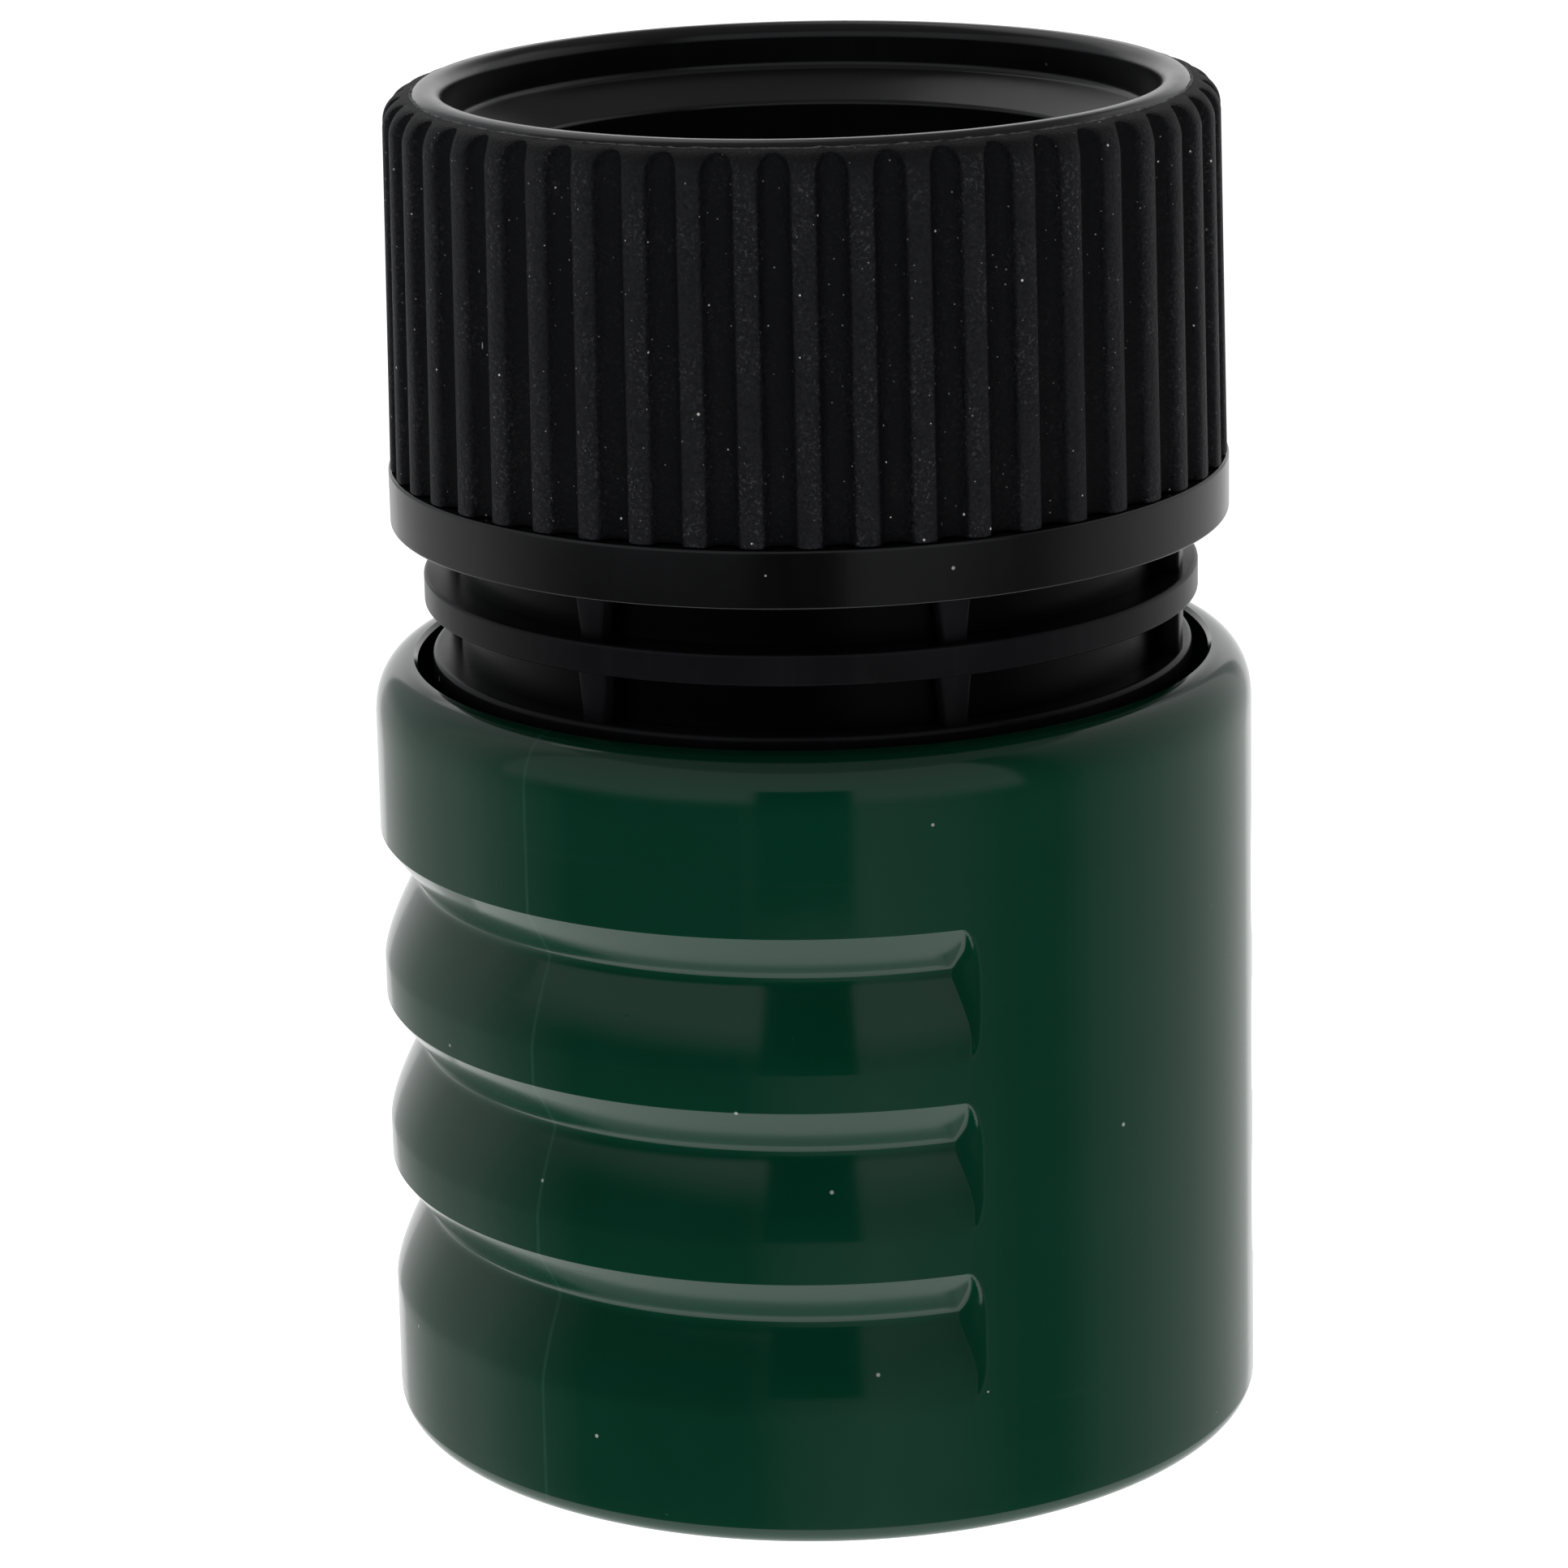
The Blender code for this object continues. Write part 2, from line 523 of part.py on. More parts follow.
def claw(index):
    """Locking claw with its hook in the socket's bore and its back on the collar's cone."""
    arc_steps = 5
    hook_top = CLAW_BOTTOM + 3.0 * MM
    levels = ((CLAW_BOTTOM, CLAW_HOOK_RADIUS + 0.9 * MM), (CLAW_BOTTOM + 1.5 * MM, CLAW_HOOK_RADIUS),
              (hook_top - 0.1 * MM, CLAW_HOOK_RADIUS), (hook_top, CLAW_FRONT), (CONE_TOP, CLAW_FRONT))
    mesh = bmesh.new()
    layers = []
    for height, front in levels:
        back = CONE_TOP_RADIUS - 0.35 * MM + CONE_SLOPE * (CONE_TOP - height)
        spots = []
        for radius, direction in ((front, 1), (back, -1)):
            for step in range(arc_steps):
                side = direction * CLAW_HALF_WIDTH * (2 * step / (arc_steps - 1) - 1)
                spots.append(Vector((sqrt(radius * radius - side * side), side, height)))
        layers.append([mesh.verts.new(spot) for spot in spots])
    count = len(layers[0])
    for lower, upper in zip(layers, layers[1:]):
        for corner in range(count):
            after = (corner + 1) % count
            mesh.faces.new((lower[corner], lower[after], upper[after], upper[corner]))
    mesh.faces.new(layers[0])
    mesh.faces.new(layers[-1])
    made = finished(f"claw_{index + 1}", mesh, WHITE)
    made.data.transform(Matrix.Rotation(pi / 4 + tau * index / CLAW_COUNT, 4, "Z"))
    return made


def coil_spring(name, mean_radius, wire_radius, bottom, top, turns):
    """Coil spring between two heights, its wire ends closed by caps."""
    steps_per_turn = 12
    curve = bpy.data.curves.new(name, "CURVE")
    curve.dimensions = "3D"
    curve.bevel_depth = wire_radius
    curve.bevel_resolution = 1
    curve.use_fill_caps = True
    wire = curve.splines.new("POLY")
    count = turns * steps_per_turn + 1
    wire.points.add(count - 1)
    for step, point in enumerate(wire.points):
        turn = tau * step / steps_per_turn
        rise = bottom + wire_radius + (top - bottom - 2 * wire_radius) * step / (count - 1)
        point.co = (mean_radius * cos(turn), mean_radius * sin(turn), rise, 1.0)
    curve.materials.append(STEEL)
    made = bpy.data.objects.new(name, curve)
    bpy.context.collection.objects.link(made)
    return made


for old in list(bpy.data.objects):
    bpy.data.objects.remove(old)

GREEN = material("collar_green", (0.004, 0.052, 0.031), 0.22)
BLACK = material("moulded_black", (0.006, 0.006, 0.007), 0.3)
RUBBER = material("grip_rubber", (0.010, 0.010, 0.011), 0.75)
WHITE = material("acetal_white", (0.70, 0.69, 0.64), 0.4)
SEAL = material("seal_rubber", (0.012, 0.012, 0.012), 0.55)
STEEL = material("spring_steel", (0.62, 0.61, 0.58), 0.28, 1.0)

slide_collar()
neck_body()
nut_shell()
nut_grip()
hose_collet()
hose_tail()
flat_ring("tail_seal", 8.2 * MM, 10.6 * MM, 41.6 * MM, 0.8 * MM, SEAL)
flat_ring("joint_gasket", 9.8 * MM, 12.2 * MM, 34.0 * MM, 0.9 * MM, SEAL)
flat_ring("valve_seal", 6.8 * MM, 8.3 * MM, 25.9 * MM, 0.5 * MM, SEAL)
flat_ring("plug_seal", 9.3 * MM, 10.7 * MM, 12.2 * MM, 1.0 * MM, SEAL)
valve_guide()
valve_poppet()
socket_tube()
end_ring()
for number in range(CLAW_COUNT):
    claw(number)
coil_spring("collar_spring", 14.0 * MM, 0.6 * MM, SPRING_LEDGE + GAP, FLANGE_BOTTOM - GAP, 5)
coil_spring("valve_spring", 4.6 * MM, 0.4 * MM, POPPET_TOP + GAP, GUIDE_WEB - GAP, 5)
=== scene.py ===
"""Looks of a female garden-hose quick connector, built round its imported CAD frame.

The socket end stands on z = 0 and the hose enters from above, along +Z. Sizes are metres.
"""

import logging
from collections.abc import Callable, Iterable, Mapping, Sequence
from dataclasses import dataclass
from enum import Enum
from functools import lru_cache
from math import asin, ceil, cos, pi, radians, sin, sqrt, tan, tau
from typing import Any, Union

import bmesh
import bpy
from mathutils import Matrix, Vector


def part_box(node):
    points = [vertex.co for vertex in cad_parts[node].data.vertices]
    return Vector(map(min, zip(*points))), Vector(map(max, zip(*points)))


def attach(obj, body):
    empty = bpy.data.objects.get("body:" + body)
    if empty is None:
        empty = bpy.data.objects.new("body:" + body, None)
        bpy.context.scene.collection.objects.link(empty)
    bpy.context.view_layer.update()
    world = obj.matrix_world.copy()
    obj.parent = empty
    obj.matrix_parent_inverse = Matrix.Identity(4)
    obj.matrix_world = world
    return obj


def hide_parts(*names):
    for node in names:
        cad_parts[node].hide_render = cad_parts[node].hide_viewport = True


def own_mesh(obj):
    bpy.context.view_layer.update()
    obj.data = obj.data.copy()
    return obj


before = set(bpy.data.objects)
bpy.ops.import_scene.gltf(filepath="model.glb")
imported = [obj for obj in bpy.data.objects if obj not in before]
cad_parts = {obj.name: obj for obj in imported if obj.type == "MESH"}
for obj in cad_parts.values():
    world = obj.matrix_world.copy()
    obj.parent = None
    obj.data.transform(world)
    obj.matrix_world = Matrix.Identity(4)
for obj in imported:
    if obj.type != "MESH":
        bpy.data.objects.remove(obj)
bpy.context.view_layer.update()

LOG = logging.getLogger("hose_connector")
MM = 0.001
PER_MM = 1000.0                       # metres to millimetres, inside node trees
HOLD = 0.02 * MM                      # distance of the hold points beside an arc
CREASE = radians(38.0)                # edges sharper than this shade sharp

Point = tuple[float, float]
Corner = tuple[float, float, float]
Colour = tuple[float, float, float, float]


class Body(Enum):
    """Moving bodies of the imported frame."""

    NECK = "body"
    COLLET = "collet"
    NUT = "nut"
    COLLAR = "collar"
    POPPET = "poppet"
    CLAW_1 = "claw_1"
    CLAW_2 = "claw_2"
    CLAW_3 = "claw_3"
    CLAW_4 = "claw_4"


class Slot(Enum):
    """Material slots of the record."""

    GREEN = "collar_green"
    BLACK = "moulded_black"
    GRIP = "grip_rubber"
    ACETAL = "acetal_white"
    SEAL = "seal_rubber"
    STEEL = "spring_steel"


def settled(target: bpy.types.Object) -> bpy.types.Object:
    """Keep what an object's modifiers make of it as its plain mesh, and remove them."""
    graph = bpy.context.evaluated_depsgraph_get()
    mesh = bpy.data.meshes.new_from_object(target.evaluated_get(graph), depsgraph=graph)
    target.modifiers.clear()
    target.data = mesh
    return target


def shade_smoothly(mesh: bpy.types.Mesh) -> None:
    """Shade a mesh smooth but for its sharp edges."""
    mesh.shade_smooth()
    mesh.set_sharp_from_angle(angle=CREASE)


# Node trees


class Sock:
    """An output socket whose operators add Math nodes to its tree."""

    def __init__(self, tree: "Tree", socket: bpy.types.NodeSocket) -> None:
        """Keep the tree and the socket."""
        self.tree = tree
        self.socket = socket

    def __add__(self, other: "Number") -> "Sock":
        """Sum."""
        return self.tree.math("ADD", self, other)

    def __sub__(self, other: "Number") -> "Sock":
        """Difference."""
        return self.tree.math("SUBTRACT", self, other)

    def __rsub__(self, other: "Number") -> "Sock":
        """Difference from a number."""
        return self.tree.math("SUBTRACT", other, self)

    def __mul__(self, other: "Number") -> "Sock":
        """Product."""
        return self.tree.math("MULTIPLY", self, other)

    def __truediv__(self, other: "Number") -> "Sock":
        """Quotient."""
        return self.tree.math("DIVIDE", self, other)

    def __pow__(self, other: "Number") -> "Sock":
        """Power."""
        return self.tree.math("POWER", self, other)

    def __neg__(self) -> "Sock":
        """Opposite."""
        return self * -1.0

    def __abs__(self) -> "Sock":
        """Size without sign."""
        return self.tree.math("ABSOLUTE", self)

    def __gt__(self, other: "Number") -> "Sock":
        """One where this is greater, else zero."""
        return self.tree.math("GREATER_THAN", self, other)

    def __lt__(self, other: "Number") -> "Sock":
        """One where this is less, else zero."""
        return self.tree.math("LESS_THAN", self, other)

    __radd__ = __add__
    __rmul__ = __mul__

    def ramp(self, low: "Number", high: "Number", smooth: bool = False) -> "Sock":
        """Share of the way from low to high, held between 0 and 1."""
        kind = "SMOOTHSTEP" if smooth else "LINEAR"
        return self.tree.node("ShaderNodeMapRange", {"interpolation_type": kind, "clamp": True},
                              {0: self, 1: low, 2: high})


Number = Union[float, Sock]


class Tree:
    """A shader or geometry tree, with one method that adds any node."""

    def __init__(self, tree: bpy.types.NodeTree) -> None:
        """Keep the tree that nodes are added to."""
        self.tree = tree

    def node(self, kind: str, settings: Mapping[str, Any] | None = None,
             sockets: Mapping[str | int, Any] | None = None, output: str | int = 0) -> Sock:
        """Add a node.

        Args:
            kind: type name of the node.
            settings: the node's own properties, set first; a ramp's stops go under "stops".
            sockets: values or links of its input sockets, by name or number.
            output: name or number of the output to return.

        Returns:
            The chosen output.
        """
        made = self.tree.nodes.new(kind)
        for name, setting in (settings or {}).items():
            if name == "stops":
                self.set_stops(made.color_ramp, setting)
            else:
                setattr(made, name, setting)
        for key, value in (sockets or {}).items():
            self.feed(made.inputs[key], value)
        return Sock(self, made.outputs[output])

    def feed(self, socket: bpy.types.NodeSocket, value: Any) -> None:
        """Link a Sock to an input socket, or set its value."""
        if isinstance(value, Sock):
            self.tree.links.new(value.socket, socket)
        else:
            socket.default_value = value

    @staticmethod
    def set_stops(ramp: bpy.types.ColorRamp, stops: Sequence[tuple[float, float]]) -> None:
        """Give a colour ramp grey stops of (place, level)."""
        while len(ramp.elements) < len(stops):
            ramp.elements.new(1.0)
        for element, (place, level) in zip(ramp.elements, stops):
            element.position = place
            element.color = (level, level, level, 1.0)

    def math(self, operation: str, *values: Number) -> Sock:
        """Math node of the given values."""
        return self.node("ShaderNodeMath", {"operation": operation}, dict(enumerate(values)))

    def vector(self, operation: str, first: Any, second: Any) -> Sock:
        """Vector Math node of two vectors."""
        return self.node("ShaderNodeVectorMath", {"operation": operation}, {0: first, 1: second})

    def mix(self, share: Number, first: Any, second: Any) -> Sock:
        """Colour that goes from first to second with share."""
        return self.node("ShaderNodeMix", {"data_type": "RGBA"}, {0: share, 6: first, 7: second}, 2)

    def parts(self, vector: Sock) -> tuple[Sock, Sock, Sock]:
        """The three components of a vector."""
        split = self.node("ShaderNodeSeparateXYZ", None, {0: vector}).socket.node
        return tuple(Sock(self, output) for output in split.outputs)

    def length(self, first: Number, second: Number) -> Sock:
        """Length of a flat vector."""
        return self.math("SQRT", first * first + second * second)


class Rule(Tree):
    """A Geometry Nodes tree with named sizes, which shapes one object and is then taken off it."""

    def __init__(self, name: str, **sizes: float) -> None:
        """Make the tree.

        Args:
            name: name of the tree.
            sizes: the tree's inputs and the values that they get; an int makes an Integer input.
        """
        super().__init__(bpy.data.node_groups.new(name, "GeometryNodeTree"))
        face = self.tree.interface
        face.new_socket("Geometry", in_out="INPUT", socket_type="NodeSocketGeometry")
        face.new_socket("Geometry", in_out="OUTPUT", socket_type="NodeSocketGeometry")
        self.values = {}
        for label, value in sizes.items():
            kind = "NodeSocketInt" if isinstance(value, int) else "NodeSocketFloat"
            made = face.new_socket(label.replace("_", " ").title(), in_out="INPUT", socket_type=kind)
            self.values[made.identifier] = value
        start = self.tree.nodes.new("NodeGroupInput")
        self.geometry = Sock(self, start.outputs[0])
        self.sizes = [Sock(self, output) for output in start.outputs[1:1 + len(sizes)]]

    def position(self) -> tuple[Sock, Sock, Sock]:
        """Coordinates of each point."""
        return self.parts(self.node("GeometryNodeInputPosition"))

    def moved(self, geometry: Sock, x: Number, y: Number, z: Number) -> Sock:
        """Geometry whose points are set to new coordinates."""
        place = self.node("ShaderNodeCombineXYZ", None, {0: x, 1: y, 2: z})
        return self.node("GeometryNodeSetPosition", None, {"Geometry": geometry, "Position": place})

    def index(self) -> Sock:
        """Number of each copy."""
        return self.node("GeometryNodeInputIndex")

    def copies(self, geometry: Sock, count: Number, angle: Sock | None = None) -> Sock:
        """Copies of a geometry turned about Z.

        Args:
            geometry: what is copied.
            count: number of copies.
            angle: angle of each copy; none spaces them evenly.

        Returns:
            The copies.
        """
        points = self.node("GeometryNodePoints", None, {"Count": count})
        turn = self.node("ShaderNodeCombineXYZ", None, {2: angle or self.index() * tau / count})
        return self.node("GeometryNodeInstanceOnPoints", None,
                         {"Points": points, "Instance": geometry, "Rotation": turn})

    def apply(self, target: bpy.types.Object, geometry: Sock) -> bpy.types.Object:
        """End the tree, run it on an object and keep the result as the object's plain mesh.

        Args:
            target: object whose mesh goes into the tree and whose material the result keeps.
            geometry: what the tree makes of it.

        Returns:
            The same object, with its new mesh and no modifier.
        """
        realized = self.node("GeometryNodeRealizeInstances", None, {"Geometry": geometry})
        material = target.data.materials[0]
        dressed = self.node("GeometryNodeSetMaterial", None, {"Geometry": realized, "Material": material})
        end = self.tree.nodes.new("NodeGroupOutput")
        self.feed(end.inputs[0], dressed)
        modifier = target.modifiers.new(self.tree.name, "NODES")
        modifier.node_group = self.tree
        for identifier, value in self.values.items():
            modifier[identifier] = value
        shade_smoothly(settled(target).data)
        return target


# Finishes


class Shade(Tree):
    """A material's tree: its shader, and patterns measured in millimetres on the object."""

    def __init__(self, name: str, **constants: Any) -> None:
        """Make a material with a Principled shader.

        Args:
            name: name of the material.
            constants: fixed values of the shader's own sockets, with underscores for spaces.
        """
        self.material = bpy.data.materials.new(name)
        self.material.use_nodes = True
        super().__init__(self.material.node_tree)
        self.shader = self.tree.nodes["Principled BSDF"]
        for label, value in constants.items():
            self.shader.inputs[label.replace("_", " ")].default_value = value
        place = self.node("ShaderNodeTexCoord", output="Object")
        self.place = self.node("ShaderNodeVectorMath", {"operation": "SCALE"}, {0: place, "Scale": PER_MM})

    def stretched(self, across: float, along: float) -> Sock:
        """Object coordinates with their flat part and their height scaled apart."""
        return self.vector("MULTIPLY", self.place, (across, across, along))

    def noise(self, size: float, detail: float = 3.0, across: float = 1.0, along: float = 1.0,
              roughness: float = 0.5) -> Sock:
        """Noise of 0 to 1 with features of a size in millimetres, stretched by across and along."""
        return self.node("ShaderNodeTexNoise", None,
                         {"Vector": self.stretched(across / size, along / size), "Scale": 1.0,
                          "Detail": detail, "Roughness": roughness})

    def specks(self, spacing: float, reach: float, share: float, along: float = 1.0) -> Sock:
        """Scattered specks, one in some cells of a spacing, in millimetres.

        Args:
            spacing: size of a cell.
            reach: radius of a speck, as a share of its cell.
            share: share of the cells that hold a speck.
            along: less than one draws the specks out in height.

        Returns:
            One on a speck, zero off it.
        """
        cells = self.node("ShaderNodeTexVoronoi", None,
                          {"Vector": self.stretched(1.0, along), "Scale": 1.0 / spacing})
        chance, size, _ = self.parts(Sock(self, cells.socket.node.outputs["Color"]))
        edge = reach * (0.4 + 0.6 * size)
        return (1.0 - cells.ramp(edge * 0.6, edge)) * (chance < share)

    def radius(self) -> Sock:
        """Distance from the part's axis in millimetres."""
        x, y, _ = self.parts(self.place)
        return self.length(x, y)

    def finish(self, colour: Any, roughness: Any, height: Sock, relief: float) -> bpy.types.Material:
        """Feed the shader.

        Args:
            colour: base colour.
            roughness: surface roughness.
            height: surface height, 0 to 1.
            relief: depth of that height in metres.

        Returns:
            The finished material.
        """
        self.feed(self.shader.inputs["Base Color"], colour)
        self.feed(self.shader.inputs["Roughness"], roughness)
        bump = self.node("ShaderNodeBump", None, {"Strength": 1.0, "Distance": relief, "Height": height})
        self.feed(self.shader.inputs["Normal"], bump)
        return self.material


@dataclass(frozen=True)
class GlossGreen:
    """Polished green polypropylene with fine turning scuffs, pits and a mould line."""

    name: str = "gloss_green"
    colour: Colour = (0.0006, 0.0365, 0.0180, 1.0)
    worn: Colour = (0.0014, 0.0420, 0.0230, 1.0)
    line: Colour = (0.020, 0.085, 0.060, 1.0)
    dust: Colour = (0.35, 0.38, 0.34, 1.0)
    roughness: float = 0.09
    mould_angle: float = radians(-129.0)

    def make(self) -> bpy.types.Material:
        """Build the material."""
        shade = Shade(self.name, IOR=1.49, Specular_IOR_Level=0.5)
        cloud = shade.noise(5.0)
        scuff = shade.noise(1.0, 2.0, 0.06, 5.0).ramp(0.62, 0.78)
        scuff_patch = shade.noise(7.0, 2.0).ramp(0.45, 0.65)
        scuffs = scuff * scuff_patch
        pits = shade.specks(1.3, 0.10, 0.30)
        dust = shade.specks(1.9, 0.055, 0.35)
        x, y, _ = shade.parts(shade.place)
        across = abs(x * -sin(self.mould_angle) + y * cos(self.mould_angle))
        seam = (1.0 - across.ramp(0.03, 0.11)) * (0.35 + 0.65 * shade.noise(2.0, 1.0, 0.3, 1.0))
        colour = shade.mix(cloud.ramp(0.35, 0.75) * 0.6, self.colour, self.worn)
        colour = shade.mix(scuffs * 0.6, colour, self.worn)
        colour = shade.mix(seam * 0.55, colour, self.line)
        colour = shade.mix(dust, colour, self.dust)
        roughness = self.roughness + cloud * 0.05 + scuffs * 0.14 + dust * 0.4
        height = shade.noise(0.9, 2.0, 0.3, 1.6) * 0.25 - pits * 0.9 - scuffs * 0.15
        return shade.finish(colour, roughness, height, 0.004 * MM)


@dataclass(frozen=True)
class MouldedBlack:
    """Injection-moulded black plastic with draw streaks, flow marks and stray specks, painted near black as
    painted shade inside a given radius.
    """

    name: str = "moulded_black"
    colour: Colour = (0.0022, 0.0022, 0.0027, 1.0)
    hazed: Colour = (0.0055, 0.0055, 0.0068, 1.0)
    dust: Colour = (0.30, 0.30, 0.30, 1.0)
    roughness: float = 0.24
    specular: float = 0.5
    painted_shade_radius: float = 0.0            # nearer to the axis than this, the plastic is painted near black as painted shade

    def make(self) -> bpy.types.Material:
        """Build the material."""
        shade = Shade(self.name, IOR=1.5, Specular_IOR_Level=self.specular)
        cloud = shade.noise(4.0)
        streaks = shade.noise(0.5, 2.0, 1.0, 0.08)
        dust = shade.specks(1.7, 0.07, 0.25)
        colour = shade.mix(cloud.ramp(0.4, 0.8) * 0.5 + streaks.ramp(0.5, 0.8) * 0.3, self.colour, self.hazed)
        # painted shade: inside the radius the colour goes to near black, and no dust shows there
        edge = self.painted_shade_radius * PER_MM
        lit = shade.radius().ramp(edge - 0.2, edge + 0.2)
        colour = shade.mix(lit, (0.0002, 0.0002, 0.0002, 1.0), colour)
        colour = shade.mix(dust * lit, colour, self.dust)
        roughness = self.roughness + cloud * 0.10 + streaks * 0.05 + dust * 0.4
        height = streaks * 0.5 + shade.noise(0.25, 2.0) * 0.3
        return shade.finish(colour, roughness, height, 0.004 * MM)


@dataclass(frozen=True)
class GripRubber:
    """Matt black thermoplastic rubber: fine grain, dusty ridges, white specks and lint, with the flutes
    painted darker as painted shade.
    """

    name: str = "grip_rubber"
    # colour is for the flutes and ridge is for the ridges: the flutes' darker colour is painted shade in the
    # recesses
    colour: Colour = (0.0010, 0.0010, 0.0022, 1.0)
    ridge: Colour = (0.0082, 0.0082, 0.0118, 1.0)
    dust: Colour = (0.26, 0.26, 0.26, 1.0)
    speck: Colour = (0.60, 0.60, 0.58, 1.0)
    ridge_radius: float = 16.85 * MM
    draft: float = 0.018                  # radius lost per unit of height
    foot: float = 40.0 * MM

    def make(self) -> bpy.types.Material:
        """Build the material."""
        shade = Shade(self.name, IOR=1.48, Specular_IOR_Level=0.32)
        _, _, height = shade.parts(shade.place)
        crown = self.ridge_radius * PER_MM
        radius = shade.radius() + (height - self.foot * PER_MM) * self.draft
        on_ridge = radius.ramp(crown - 0.5, crown - 0.05, True)
        grain = shade.noise(0.17, 3.0, roughness=0.7)
        flow = shade.noise(0.8, 3.0, 1.0, 0.25)
        drift = shade.noise(1.6, 3.0, 1.0, 0.5)
        powder = shade.noise(0.13, 3.0, roughness=0.7).ramp(0.54, 0.72) * drift.ramp(0.38, 0.64)
        bits = shade.specks(0.42, 0.105, 0.9)
        specks = shade.specks(0.9, 0.075, 0.8)
        fibres = shade.specks(0.8, 0.045, 0.7, 0.2)
        lint = shade.math("MAXIMUM", shade.math("MAXIMUM", bits * 0.35, specks), fibres * 0.5)
        # painted shade: off the ridges, in the flutes, the tone falls to the darker colour
        tone = on_ridge * (0.35 + 0.65 * flow) + (grain.ramp(0.35, 0.65) - 0.5) * (0.45 + 0.55 * on_ridge)
        colour = shade.mix(tone.ramp(0.0, 1.0), self.colour, self.ridge)
        colour = shade.mix(powder * (0.06 + 0.16 * on_ridge), colour, self.dust)
        colour = shade.mix(lint, colour, self.speck)
        roughness = 0.60 - 0.10 * on_ridge + 0.12 * grain
        return shade.finish(colour, roughness, grain + flow * 0.4, 0.07 * MM)


@dataclass(frozen=True)
class RubberFlash:
    """Thin torn edge of rubber, paler where it is stretched."""

    name: str = "rubber_flash"
    colour: Colour = (0.020, 0.020, 0.021, 1.0)
    pale: Colour = (0.22, 0.22, 0.22, 1.0)

    def make(self) -> bpy.types.Material:
        """Build the material."""
        shade = Shade(self.name, IOR=1.48)
        torn = shade.noise(0.35, 3.0)
        colour = shade.mix(torn.ramp(0.35, 0.68), self.colour, self.pale)
        return shade.finish(colour, 0.45 + torn * 0.3, torn, 0.03 * MM)


@dataclass(frozen=True)
class Acetal:
    """Milky white acetal with a soft gate mark pattern and a little grime."""

    name: str = "acetal_white"
    colour: Colour = (0.72, 0.71, 0.66, 1.0)
    grime: Colour = (0.46, 0.44, 0.38, 1.0)

    def make(self) -> bpy.types.Material:
        """Build the material."""
        shade = Shade(self.name, IOR=1.48, Subsurface_Weight=0.15, Subsurface_Scale=0.6 * MM)
        cloud = shade.noise(2.2)
        grain = shade.noise(0.3, 2.0)
        colour = shade.mix(cloud.ramp(0.5, 0.8) * 0.5, self.colour, self.grime)
        return shade.finish(colour, 0.30 + cloud * 0.15, grain, 0.005 * MM)


@dataclass(frozen=True)
class SealRubber:
    """Greased nitrile rubber of the seals."""

    name: str = "seal_rubber"
    colour: Colour = (0.008, 0.008, 0.008, 1.0)
    bloom: Colour = (0.030, 0.030, 0.028, 1.0)

    def make(self) -> bpy.types.Material:
        """Build the material."""
        shade = Shade(self.name, IOR=1.52)
        bloom = shade.noise(0.9)
        colour = shade.mix(bloom.ramp(0.45, 0.8), self.colour, self.bloom)
        return shade.finish(colour, 0.32 + bloom * 0.3, shade.noise(0.2), 0.008 * MM)


@dataclass(frozen=True)
class SpringSteel:
    """Drawn stainless spring wire with die lines along it."""

    name: str = "spring_steel"
    colour: Colour = (0.60, 0.59, 0.56, 1.0)
    stain: Colour = (0.40, 0.36, 0.30, 1.0)

    def make(self) -> bpy.types.Material:
        """Build the material."""
        shade = Shade(self.name, Metallic=1.0)
        stain = shade.noise(1.5)
        lines = shade.noise(0.12, 1.0, 0.2, 4.0)
        colour = shade.mix(stain.ramp(0.5, 0.8), self.colour, self.stain)
        return shade.finish(colour, 0.20 + lines * 0.14, lines, 0.004 * MM)


Finish = Union[GlossGreen, MouldedBlack, GripRubber, RubberFlash, Acetal, SealRubber, SpringSteel]


@lru_cache(maxsize=None)
def look(finish: Finish) -> bpy.types.Material:
    """The material of a finish, made once."""
    return finish.make()


# Mesh work


def linked(name: str, mesh: bmesh.types.BMesh, material: bpy.types.Material) -> bpy.types.Object:
    """Turn a bmesh, freed afterwards, into a named object of the scene."""
    data = bpy.data.meshes.new(name)
    mesh.to_mesh(data)
    mesh.free()
    data.materials.append(material)
    made = bpy.data.objects.new(name, data)
    bpy.context.scene.collection.objects.link(made)
    return made


def crisp(name: str, mesh: bmesh.types.BMesh, finish: Finish) -> bpy.types.Object:
    """Turn a closed bmesh into a named object, smooth but for its sharp edges."""
    bmesh.ops.recalc_face_normals(mesh, faces=mesh.faces)
    made = linked(name, mesh, look(finish))
    shade_smoothly(made.data)
    return made


def rounded(corners: Sequence[Corner], steps: int = 4) -> list[Point]:
    """Closed outline whose corners are arcs.

    Args:
        corners: radius, height and fillet of each corner, in order round the section.
        steps: chords in each arc.

    Returns:
        Points of the outline, with hold points beside each arc so that flats shade flat.
    """
    outline: list[Point] = []
    for index, (radius, height, fillet) in enumerate(corners):
        here = Vector((radius, height))
        if fillet <= 0.0:
            outline.append((radius, height))
            continue
        before = Vector(corners[index - 1][:2]) - here
        after = Vector(corners[(index + 1) % len(corners)][:2]) - here
        half = before.angle(after) / 2
        reach = fillet / tan(half)
        centre = here + (before.normalized() + after.normalized()).normalized() * fillet / sin(half)
        first = here + before.normalized() * reach
        last = here + after.normalized() * reach
        sweep = pi - 2 * half
        if before.length > reach + 4 * HOLD:
            outline.append(tuple(first + before.normalized() * HOLD))
        for step in range(steps + 1):
            turn = sweep * step / steps
            spoke = (first - centre) * sin(sweep - turn) + (last - centre) * sin(turn)
            outline.append(tuple(centre + spoke / sin(sweep)))
        if after.length > reach + 4 * HOLD:
            outline.append(tuple(last + after.normalized() * HOLD))
    return outline


def even(count: int) -> list[float]:
    """Angles that divide a full turn evenly."""
    return [tau * step / count for step in range(count)]


